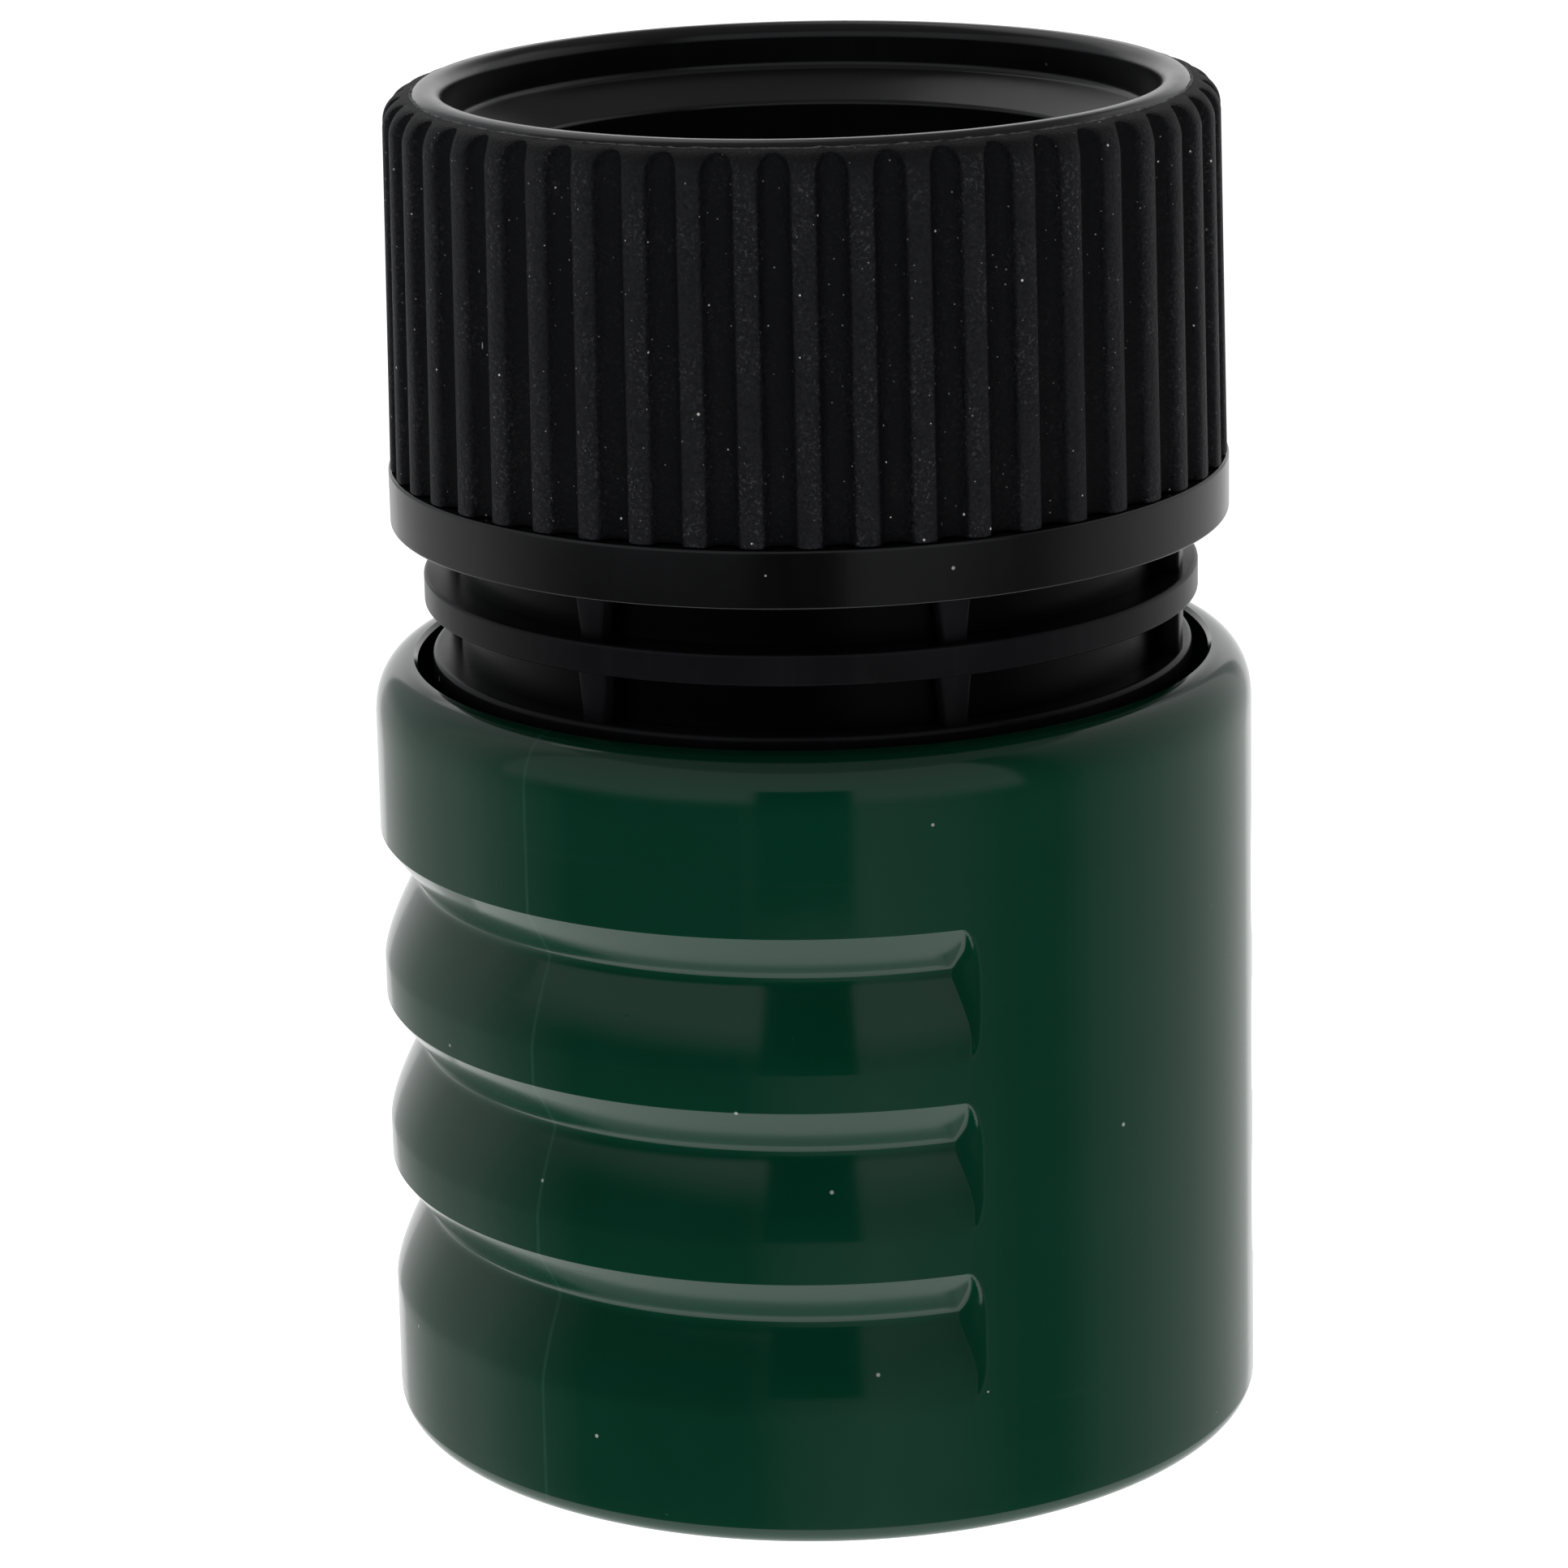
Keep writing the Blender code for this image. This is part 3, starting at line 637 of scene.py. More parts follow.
def lathe(outline: Sequence[Point], angles: Sequence[float]) -> bmesh.types.BMesh:
    """Closed outline turned about Z.

    Args:
        outline: (radius, height) points round the section; points on the axis become poles.
        angles: angles of the mesh's columns, in rising order.

    Returns:
        The closed mesh.
    """
    mesh = bmesh.new()
    rings = []
    for radius, height in outline:
        columns = angles if radius > 1e-7 else angles[:1]
        rings.append([mesh.verts.new(sector(radius, height, angle)) for angle in columns])
    count = len(angles)
    for ring, above in zip(rings, rings[1:] + rings[:1]):
        if len(ring) == 1 and len(above) == 1:
            continue
        for column in range(count):
            after = (column + 1) % count
            if len(ring) == 1:
                corners = (ring[0], above[after], above[column])
            elif len(above) == 1:
                corners = (ring[column], ring[after], above[0])
            else:
                corners = (ring[column], ring[after], above[after], above[column])
            mesh.faces.new(corners)
    return mesh


def turned(name: str, outline: Sequence[Point], finish: Finish, columns: int = 192) -> bpy.types.Object:
    """Object turned about Z from a closed outline."""
    return crisp(name, lathe(outline, even(columns)), finish)


def repeated(target: bpy.types.Object, count: int) -> bpy.types.Object:
    """Copy an object evenly round Z."""
    rule = Rule(target.name, count=count)
    return rule.apply(target, rule.copies(rule.geometry, rule.sizes[0]))


def band(inner: float, low: float, outer: float, high: float, *fillets: float) -> list[Point]:
    """Outline of a rectangular section.

    Args:
        inner: inner radius.
        low: height of its bottom.
        outer: outer radius.
        high: height of its top.
        fillets: of its corners, from the inner bottom one round by the outside.

    Returns:
        Points of the outline.
    """
    spots = ((inner, low), (outer, low), (outer, high), (inner, high))
    return rounded([(*spot, fillet) for spot, fillet in zip(spots, fillets)])


def swept(outline: Sequence[Point], stations: Sequence[float],
          spot: Callable[[float, float, float], Vector]) -> bmesh.types.BMesh:
    """Closed outline carried through stations and capped at both ends.

    Args:
        outline: (radius, height) points round the section.
        stations: places along the sweep.
        spot: gives the point for a radius, a height and a station.

    Returns:
        The closed mesh.
    """
    mesh = bmesh.new()
    loops = [[mesh.verts.new(spot(radius, height, station)) for radius, height in outline]
             for station in stations]
    count = len(outline)
    for near, far in zip(loops, loops[1:]):
        for corner in range(count):
            after = (corner + 1) % count
            mesh.faces.new((near[corner], near[after], far[after], far[corner]))
    mesh.faces.new(loops[0])
    mesh.faces.new(loops[-1])
    return mesh


def sector(radius: float, height: float, angle: float) -> Vector:
    """Spot on an arc round the axis."""
    return Vector((radius * cos(angle), radius * sin(angle), height))


def flat_sided(radius: float, height: float, side: float) -> Vector:
    """Spot at a fixed distance to the side, on a cylinder about the axis."""
    return Vector((sqrt(radius * radius - side * side), side, height))


def box_mesh(size: Sequence[float], middle: Sequence[float], fillet: float,
             taper: float = 1.0) -> bmesh.types.BMesh:
    """Box with rounded edges.

    Args:
        size: length, width and height.
        middle: its centre.
        fillet: radius of its edges.
        taper: width of the bottom as a share of the top's.

    Returns:
        The closed mesh.
    """
    mesh = bmesh.new()
    bmesh.ops.create_cube(mesh, size=1.0)
    for vertex in mesh.verts:
        width = size[1] * (taper if vertex.co.z < 0 else 1.0)
        vertex.co = Vector((vertex.co.x * size[0], vertex.co.y * width, vertex.co.z * size[2]))
    bmesh.ops.bevel(mesh, geom=mesh.edges[:], offset=fillet, segments=3, profile=0.5, affect="EDGES")
    bmesh.ops.translate(mesh, vec=middle, verts=mesh.verts)
    return mesh


def joined(target: bpy.types.Object, others: Iterable[bpy.types.Object]) -> bpy.types.Object:
    """Merge other objects' meshes into target and remove them."""
    mesh = bmesh.new()
    mesh.from_mesh(target.data)
    for other in others:
        mesh.from_mesh(other.data)
        bpy.data.objects.remove(other)
    mesh.to_mesh(target.data)
    mesh.free()
    target.data.set_sharp_from_angle(angle=CREASE)
    return target


def softened(target: bpy.types.Object, width: float, segments: int = 3) -> bpy.types.Object:
    """Round an object's sharp edges with a bevel, and keep the result as its mesh."""
    bevel = target.modifiers.new("soft_edges", "BEVEL")
    bevel.width = width
    bevel.segments = segments
    bevel.limit_method = "ANGLE"
    bevel.angle_limit = CREASE
    bevel.harden_normals = True
    return settled(target)


def cut(target: bpy.types.Object, cutters: Iterable[bpy.types.Object]) -> bpy.types.Object:
    """Take cutters out of an object with Booleans, remove them, and keep the result as its mesh."""
    tools = list(cutters)
    for tool in tools:
        boolean = target.modifiers.new(tool.name, "BOOLEAN")
        boolean.operation = "DIFFERENCE"
        boolean.object = tool
    settled(target)
    for tool in tools:
        bpy.data.objects.remove(tool)
    shade_smoothly(target.data)
    return target


def placed(piece: bpy.types.Object, body: Body, slot: Slot, *nodes: str) -> bpy.types.Object:
    """Make a piece ride on its body and stand for its CAD nodes.

    Args:
        piece: finished object at the origin.
        body: body that it moves with.
        slot: material slot of the piece; not used.
        nodes: CAD nodes that it replaces, if any.

    Returns:
        The piece.
    """
    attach(piece, body.value)
    if nodes:
        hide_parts(*nodes)
    LOG.info("%s: %d faces on %s", piece.name, len(piece.data.polygons), body.value)
    return piece


def threaded(target: bpy.types.Object, root: float, depth: float, pitch: float, bottom: float,
             top: float) -> bpy.types.Object:
    """Raise a right-hand thread on the wall of a turned object.

    Args:
        target: object with a fine wall at the root radius.
        root: radius of the wall.
        depth: height of the thread over the root.
        pitch: rise of one turn.
        bottom: height where the thread starts.
        top: height where it ends.

    Returns:
        The object with its thread.
    """
    rule = Rule("thread", root=root, depth=depth, pitch=pitch, bottom=bottom, top=top, runout=1.0 * MM)
    size_root, size_depth, size_pitch, size_bottom, size_top, size_runout = rule.sizes
    x, y, z = rule.position()
    reach = rule.length(x, y)
    on_wall = abs(reach - size_root) < 0.1 * MM
    phase = z / size_pitch * tau - rule.math("ARCTAN2", y, x)
    flank = (0.5 + 0.9 * rule.math("COSINE", phase)).ramp(0.0, 1.0, True)
    ends = rule.math("MINIMUM", (z - size_bottom) / size_runout, (size_top - z) / size_runout)
    scale = 1.0 + size_depth * flank * ends.ramp(0.0, 1.0, True) * on_wall / rule.math("MAXIMUM", reach, MM)
    return rule.apply(target, rule.moved(rule.geometry, x * scale, y * scale, z))


def rows(bottom: float, top: float, spacing: float) -> list[float]:
    """Evenly spaced heights from bottom to top, both included."""
    count = max(1, ceil((top - bottom) / spacing - 1e-6))
    return [bottom + (top - bottom) * step / count for step in range(count + 1)]


# Sub-assemblies


@dataclass
class ReleaseCollar:
    """Green sleeve that is pulled back to let the plug go."""

    crest_radius: float = 16.2 * MM
    shoulder: float = 2.1 * MM
    foot: float = 0.8 * MM
    bore: float = 15.5 * MM
    mouth_bore: float = 16.05 * MM
    mouth_depth: float = 5.6 * MM
    cone_top: float = 7.4 * MM
    cone_top_radius: float = 12.85 * MM
    cone_slope: float = 0.3
    ledge: float = 8.6 * MM
    top_radius: float = 17.8 * MM
    groove_edge: float = 25.0 * MM        # height of the top groove's sharp upper edge
    groove_pitch: float = 7.0 * MM
    groove_count: int = 3
    groove_fall: float = 2.0 * MM         # from the upper edge down to the deepest line
    groove_length: float = 5.5 * MM       # from the upper edge down to the end of the run-out
    groove_depth: float = 1.2 * MM        # where the two walls would cross
    groove_valley: float = 0.45 * MM      # how far the crossing is rounded
    groove_power: float = 1.35            # how softly the lower wall runs out
    groove_gain: float = 0.28             # share by which the depth grows away from the smooth panel
    groove_bow: float = 0.6 * MM          # how far a groove's end draws in at its top and bottom
    smooth_centre: float = radians(-39.0)
    smooth_half_angle: float = radians(31.0)
    edge_round: float = 0.20 * MM
    groove_rows: int = 34                 # rings of points down a groove
    foot_steps: int = 8
    shoulder_steps: int = 16
    columns: int = 320
    end_columns: int = 40                 # more columns at each end of the smooth panel
    end_step: float = radians(0.15)
    finish: GlossGreen = GlossGreen()

    def __post_init__(self) -> None:
        """Take the outer size from the frame."""
        low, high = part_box("slide_collar")
        self.radius = (high.x - low.x) / 2
        self.height = high.z

    def wall(self, height: float) -> float:
        """Outer radius of the drafted wall at a height."""
        return self.radius + (self.top_radius - self.radius) * height / self.height

    def wall_heights(self) -> list[float]:
        """Heights of the wall's rings of points, closest where the grooves turn sharply."""
        found = {self.foot, self.height - self.shoulder}
        near_edge = [0.08 * MM * step for step in range(-2, 5)] + [HOLD, -HOLD]
        inside = [self.groove_length * step / self.groove_rows for step in range(self.groove_rows + 1)]
        for groove in range(self.groove_count):
            edge = self.groove_edge - groove * self.groove_pitch
            found |= {round(edge - place, 8) for place in inside + near_edge}
        lowest = edge - self.groove_length - 0.5 * MM
        found |= set(rows(self.foot, lowest, 1.0 * MM))
        found |= set(rows(self.groove_edge + 0.4 * MM, self.height - self.shoulder, 0.8 * MM))
        return sorted(found)

    def outline(self) -> list[Point]:
        """Section of the sleeve, from the foot up the outside and down the inside."""
        foot_bore = self.cone_top_radius + self.cone_slope * self.cone_top
        points = [(foot_bore + 0.3 * MM, 0.0), (self.radius - self.foot - HOLD, 0.0)]
        for step in range(self.foot_steps):
            turn = step / self.foot_steps * pi / 2
            points.append((self.radius - self.foot * (1 - sin(turn)), self.foot * (1 - cos(turn))))
        points += [(self.wall(height), height) for height in self.wall_heights()]
        width = self.top_radius - self.crest_radius
        for step in range(1, self.shoulder_steps + 1):
            turn = step / self.shoulder_steps * pi / 2
            points.append((self.crest_radius + width * cos(turn),
                           self.height - self.shoulder * (1 - sin(turn))))
        mouth_floor = self.height - self.mouth_depth
        inside = [(self.mouth_bore, self.height - 0.15 * MM, 0.0), (self.mouth_bore, mouth_floor, 0.0),
                  (self.bore, mouth_floor - 0.5 * MM, 0.0), (self.bore, self.ledge, 0.3 * MM),
                  (self.cone_top_radius, self.ledge, 0.15 * MM),
                  (self.cone_top_radius, self.cone_top, 0.0), (foot_bore, 0.3 * MM, 0.0)]
        return points + rounded(inside)

    def angles(self) -> list[float]:
        """Angles of the columns, closest at the grooves' end walls and at the mould line."""
        found = {round(angle, 6) for angle in even(self.columns)}
        for side in (-1.0, 1.0):
            end = self.smooth_centre + side * self.smooth_half_angle
            found |= {round((end + side * self.end_step * (step - 4)) % tau, 6)
                      for step in range(self.end_columns)}
        return sorted(angle for angle in found if angle < tau - 1e-4)

    def build(self) -> None:
        """Turn the sleeve and sink its finger grooves."""
        target = crisp("release_collar", lathe(self.outline(), self.angles()), self.finish)
        rule = Rule("finger_grooves", edge_height=self.groove_edge, pitch=self.groove_pitch,
                    count=self.groove_count, fall=self.groove_fall, length=self.groove_length,
                    depth=self.groove_depth, valley=self.groove_valley, power=self.groove_power,
                    gain=self.groove_gain, bow=self.groove_bow, smooth_centre=self.smooth_centre,
                    smooth_half_angle=self.smooth_half_angle, edge_round=self.edge_round,
                    wall_radius=self.top_radius)
        (top, pitch, count, fall, length, depth, valley, power, gain, bow, centre, half_angle, edge,
         wall) = rule.sizes
        x, y, z = rule.position()
        reach = rule.length(x, y)
        nearest = rule.math("FLOOR", (top - z) / pitch)
        nearest = rule.math("MINIMUM", rule.math("MAXIMUM", nearest, 0.0), count - 1.0)
        below = top - z - nearest * pitch
        turn = abs(rule.math("WRAP", rule.math("ARCTAN2", y, x) - centre, pi, -pi))
        depth = depth * (1.0 + gain * turn.ramp(1.2, 2.4, True))
        upper = below * depth / fall
        lower = rule.math("MAXIMUM", (length - below) / (length - fall), 0.0) ** power * depth
        section = rule.math("MAXIMUM", rule.math("SMOOTH_MIN", upper, lower, valley), 0.0)
        inset = rule.math("MINIMUM", abs(below * 2.0 / length - 1.0), 1.0) ** 4.0 * bow
        plane = wall * rule.math("SINE", half_angle) + inset * rule.math("COSINE", half_angle)
        turn = rule.math("MINIMUM", rule.math("MAXIMUM", turn, MM), pi / 2)
        end_wall = rule.math("SMOOTH_MAX", reach - plane / rule.math("SINE", turn), 0.0, edge)
        sunk = rule.math("SMOOTH_MIN", section, end_wall, edge)
        sunk = rule.math("MAXIMUM", rule.math("MINIMUM", sunk, section), 0.0) * (reach > wall - 0.2 * MM)
        scale = 1.0 - sunk / reach
        rule.apply(target, rule.moved(rule.geometry, x * scale, y * scale, z))
        placed(target, Body.COLLAR, Slot.GREEN, "slide_collar")


@dataclass
class Neck:
    """Fixed neck: spring flange, stop ring, gussets, clamping thread and valve chamber."""

    flange_radius: float = 15.4 * MM
    flange_bottom: float = 30.9 * MM
    flange_top: float = 32.3 * MM
    core_radius: float = 14.2 * MM
    ring_radius: float = 15.65 * MM
    ring_bottom: float = 34.35 * MM
    ring_top: float = 35.6 * MM
    core_top: float = 38.3 * MM
    thread_root: float = 13.3 * MM
    thread_depth: float = 0.7 * MM
    thread_pitch: float = 3.0 * MM
    chamber_bore: float = 11.2 * MM
    tube_recess: float = 12.6 * MM
    recess_top: float = 35.2 * MM
    chamber_top: float = 40.0 * MM
    web_top: float = 41.3 * MM
    web_bore: float = 7.5 * MM
    gusset_group: int = 3
    gusset_middle: float = radians(-69.0)
    gusset_spread: float = radians(55.0)
    gusset_radius: float = 15.2 * MM
    gusset_width: float = 1.35 * MM
    gusset_taper: float = 0.7
    gusset_clearance: float = 0.3 * MM
    # painted shade: inside 14.6 mm the neck is painted near black for the shade in the bays between nut and
    # ring; its base colours are raised as painted reflection, to make up for what the low specular level
    # takes off the ring and gussets
    finish: MouldedBlack = MouldedBlack(
        "black_with_painted_shade", (0.0050, 0.0050, 0.0062, 1.0), (0.0110, 0.0110, 0.0135, 1.0), specular=0.14,
        painted_shade_radius=14.6 * MM)

    def core(self) -> None:
        """Turn the neck and raise its thread."""
        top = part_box("neck_body")[1].z
        edge = 0.18 * MM
        lower = rounded([
            (self.chamber_bore, self.recess_top, 0.0), (self.tube_recess, self.recess_top, 0.1 * MM),
            (self.tube_recess, self.flange_bottom, edge), (self.flange_radius, self.flange_bottom, edge),
            (self.flange_radius, self.flange_top, 0.2 * MM), (self.core_radius, self.flange_top, 0.0),
            (self.core_radius, self.ring_bottom, 0.0), (self.ring_radius, self.ring_bottom, 0.1 * MM),
            (self.ring_radius, self.ring_top, 0.14 * MM), (self.core_radius, self.ring_top, 0.0),
            (self.core_radius, self.core_top, 0.25 * MM), (self.thread_root, self.core_top + 0.1 * MM, 0.0)])
        wall = [(self.thread_root, height)
                for height in rows(self.core_top + 0.3 * MM, top - 0.45 * MM, 0.13 * MM)]
        upper = rounded([
            (self.thread_root - 0.4 * MM, top, 0.0), (self.chamber_bore, top, edge),
            (self.chamber_bore, self.web_top, edge), (self.web_bore, self.web_top, edge),
            (self.web_bore, self.chamber_top, edge), (self.chamber_bore, self.chamber_top, edge)])
        target = turned("neck_body_shell", lower + wall + upper, self.finish, 224)
        threaded(target, self.thread_root, self.thread_depth, self.thread_pitch, self.core_top, top)
        placed(target, Body.NECK, Slot.BLACK, "neck_body")

    def gussets(self) -> None:
        """Set gussets under the ring and over it, in two groups on opposite sides."""
        overlap = 0.15 * MM
        over_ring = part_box("nut_shell")[0].z - self.gusset_clearance
        bays = (("lower", self.flange_top - overlap, self.ring_bottom + overlap),
                ("upper", self.ring_top - overlap, over_ring))
        for level, bottom, top in bays:
            depth = self.gusset_radius - self.core_radius + 0.5 * MM
            middle = (self.gusset_radius - depth / 2, 0.0, (bottom + top) / 2)
            size = (depth, self.gusset_width, top - bottom)
            name = f"neck_gussets_{level}"
            target = crisp(name, box_mesh(size, middle, 0.12 * MM, self.gusset_taper), self.finish)
            rule = Rule(name, group=self.gusset_group, middle=self.gusset_middle, spread=self.gusset_spread)
            group, centre, spread = rule.sizes
            side = rule.math("FLOOR", rule.index() / group)
            place = rule.index() - side * group - 1.0
            angle = centre + side * pi + place * spread
            rule.apply(target, rule.copies(rule.geometry, group * 2.0, angle))
            placed(target, Body.NECK, Slot.BLACK)

    def build(self) -> None:
        """Build the neck's pieces."""
        self.core()
        self.gussets()


@dataclass
class ClampNut:
    """Nut that is screwed down to clamp the hose: a hard shell with a soft fluted grip."""

    band_radius: float = 16.9 * MM
    band_top: float = 39.95 * MM
    shell_radius: float = 15.5 * MM
    mouth_radius: float = 14.2 * MM
    mouth_floor: float = 53.3 * MM
    hose_hole: float = 12.3 * MM
    hole_top: float = 52.1 * MM
    hole_bottom: float = 50.6 * MM
    entry_radius: float = 14.9 * MM
    thread_bore: float = 13.65 * MM
    thread_depth: float = 0.7 * MM
    thread_pitch: float = 3.0 * MM
    thread_bottom: float = 39.0 * MM
    thread_top: float = 45.0 * MM
    grip_bore: float = 15.6 * MM
    grip_radius: float = 16.85 * MM
    grip_radius_top: float = 16.6 * MM
    grip_shoulder: float = 1.15 * MM
    flute_count: int = 48
    flute_depth: float = 0.60 * MM
    flute_half_width: float = 0.63 * MM
    arch_stretch: float = 1.15            # height of a flute's arched top over its half width
    ridge_round: float = 0.12 * MM        # how far the ridges' edges fall
    ridge_fade: float = 0.14 * MM         # width of that fall
    flute_top: float = 54.75 * MM
    flash_radius: float = 15.42 * MM
    flash_height: float = 0.08 * MM
    lip_crest: float = 0.1 * MM           # how far the lip's crest stands over its flat CAD top
    shell_finish: MouldedBlack = MouldedBlack(roughness=0.17)
    grip_finish: GripRubber = GripRubber()
    flash_finish: RubberFlash = RubberFlash()

    def shell(self) -> None:
        """Turn the hard shell, with its rounded mouth and its female thread."""
        low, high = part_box("nut_shell")
        bottom, top = low.z, high.z + self.lip_crest
        lip = 0.58 * MM
        outer = rounded([
            (self.entry_radius, bottom, 0.15 * MM), (self.band_radius, bottom, 0.12 * MM),
            (self.band_radius, self.band_top, 0.12 * MM), (self.shell_radius, self.band_top, 0.1 * MM),
            (self.shell_radius, top, lip), (self.mouth_radius, top, lip),
            (self.mouth_radius, self.mouth_floor, 0.35 * MM), (self.hose_hole, self.hole_top, 0.25 * MM),
            (self.hose_hole, self.hole_bottom, 0.3 * MM),
            (self.thread_bore + 0.2 * MM, self.thread_top + 0.3 * MM, 0.0)], 6)
        wall = [(self.thread_bore, height)
                for height in reversed(rows(self.thread_bottom, self.thread_top, 0.2 * MM))]
        entry = [(self.entry_radius, self.thread_bottom - 0.3 * MM)]
        target = turned("clamp_nut_shell", outer + wall + entry, self.shell_finish, 240)
        threaded(target, self.thread_bore, self.thread_depth, self.thread_pitch, self.thread_bottom - MM,
                 self.thread_top)
        placed(target, Body.NUT, Slot.BLACK, "nut_shell")

    def grip_wall(self, height: float, bottom: float, top: float) -> float:
        """Radius of the grip's drafted wall at a height."""
        share = (height - bottom) / (top - bottom)
        return self.grip_radius + (self.grip_radius_top - self.grip_radius) * share

    def grip_outline(self) -> list[Point]:
        """Section of the grip, finely stepped where the flutes end."""
        bottom = self.band_top + 0.02 * MM
        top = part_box("nut_grip")[1].z + 0.1 * MM
        bend = top - self.grip_shoulder
        points = [(self.grip_bore, bottom), (self.grip_radius - 0.1 * MM, bottom),
                  (self.grip_radius - 0.03 * MM, bottom + 0.03 * MM)]
        heights = [bottom + 0.1 * MM, *rows(bottom + 0.2 * MM, bend - 0.8 * MM, 1.6 * MM)]
        heights += rows(bend - 0.72 * MM, bend, 0.08 * MM)
        points += [(self.grip_wall(height, bottom, bend), height) for height in heights]
        width = self.grip_radius_top - self.flash_radius
        for step in range(1, 25):
            turn = step / 24 * pi / 2
            points.append((self.flash_radius + width * cos(turn) ** 0.9,
                           bend + self.grip_shoulder * sin(turn)))
        points += [(self.grip_bore - 0.1 * MM, top - 0.35 * MM)]
        return points

    def grip(self) -> None:
        """Turn the rubber grip and press its flutes in."""
        half_places = (0.03, 0.09, 0.15, 0.20, 0.235, 0.258, 0.27, 0.285, 0.31, 0.34, 0.38, 0.44)
        places = sorted([*half_places, *(-place for place in half_places), 0.5])
        angles = [(flute + 0.5 + place) * tau / self.flute_count
                  for flute in range(self.flute_count) for place in places]
        target = crisp("clamp_nut_grip", lathe(self.grip_outline(), angles), self.grip_finish)
        rule = Rule("grip_flutes", count=self.flute_count, depth=self.flute_depth,
                    half_width=self.flute_half_width, arch_top=self.flute_top, radius=self.grip_radius,
                    stretch=self.arch_stretch,
                    ridge_round=self.ridge_round, ridge_fade=self.ridge_fade)
        count, depth, half, arch, radius, stretch, fall, fade = rule.sizes
        x, y, z = rule.position()
        reach = rule.length(x, y)
        turns = rule.math("ARCTAN2", y, x) * count / tau
        aside = (rule.math("FRACT", turns) - 0.5) * tau / count * radius
        past = rule.math("MAXIMUM", z - (arch - half * stretch), 0.0) / stretch
        off = rule.length(aside, past)
        flute = (1.0 - (off / half).ramp(0.0, 1.0) ** 2.6) ** 0.6
        edge = rule.math("EXPONENT", rule.math("MAXIMUM", off - half, 0.0) / fade * -1.0)
        outside = (reach - self.flash_radius).ramp(0.1 * MM, 0.4 * MM)
        scale = 1.0 - (fall * edge + (depth - fall) * flute) * outside / reach
        rule.apply(target, rule.moved(rule.geometry, x * scale, y * scale, z))
        placed(target, Body.NUT, Slot.GRIP, "nut_grip")

    def flash(self) -> None:
        """Run a thin ragged edge of rubber round the top of the grip."""
        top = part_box("nut_grip")[1].z + 0.1 * MM
        wide = 0.05 * MM
        outline = [(self.flash_radius - wide, top - 0.1 * MM), (self.flash_radius + wide, top - 0.1 * MM)]
        outline += [(self.flash_radius + wide * (1 - step / 5), top + self.flash_height * step / 4)
                    for step in range(5)]
        outline += [(self.flash_radius - wide * (1 - step / 5), top + self.flash_height * step / 4)
                    for step in reversed(range(5))]
        target = turned("grip_flash", outline, self.flash_finish, 720)
        rule = Rule("ragged_edge", base_height=top, tear_size=0.5 * MM, raggedness=0.9, lean=0.22 * MM,
                    seed=4.0)
        base, size, ragged, lean, seed = rule.sizes
        x, y, z = rule.position()
        place = rule.node("ShaderNodeCombineXYZ", None, {0: x / size, 1: y / size, 2: seed})
        tear = rule.node("ShaderNodeTexNoise", {"noise_dimensions": "3D"},
                         {"Vector": place, "Scale": 1.0, "Detail": 3.0}).ramp(0.3, 0.7)
        sway = rule.node("ShaderNodeTexNoise", {"noise_dimensions": "3D"},
                         {"Vector": place, "Scale": 0.6, "Detail": 2.0}) - 0.5
        rise = rule.math("MAXIMUM", z - base, 0.0)
        scale = 1.0 + sway * lean * (0.4 + rise / self.flash_height) / rule.length(x, y)
        height = z - rise * (1.0 - tear) * ragged
        rule.apply(target, rule.moved(rule.geometry, x * scale, y * scale, height))
        placed(target, Body.NUT, Slot.GRIP)

    def build(self) -> None:
        """Build the nut's pieces."""
        self.shell()
        self.grip()
        self.flash()


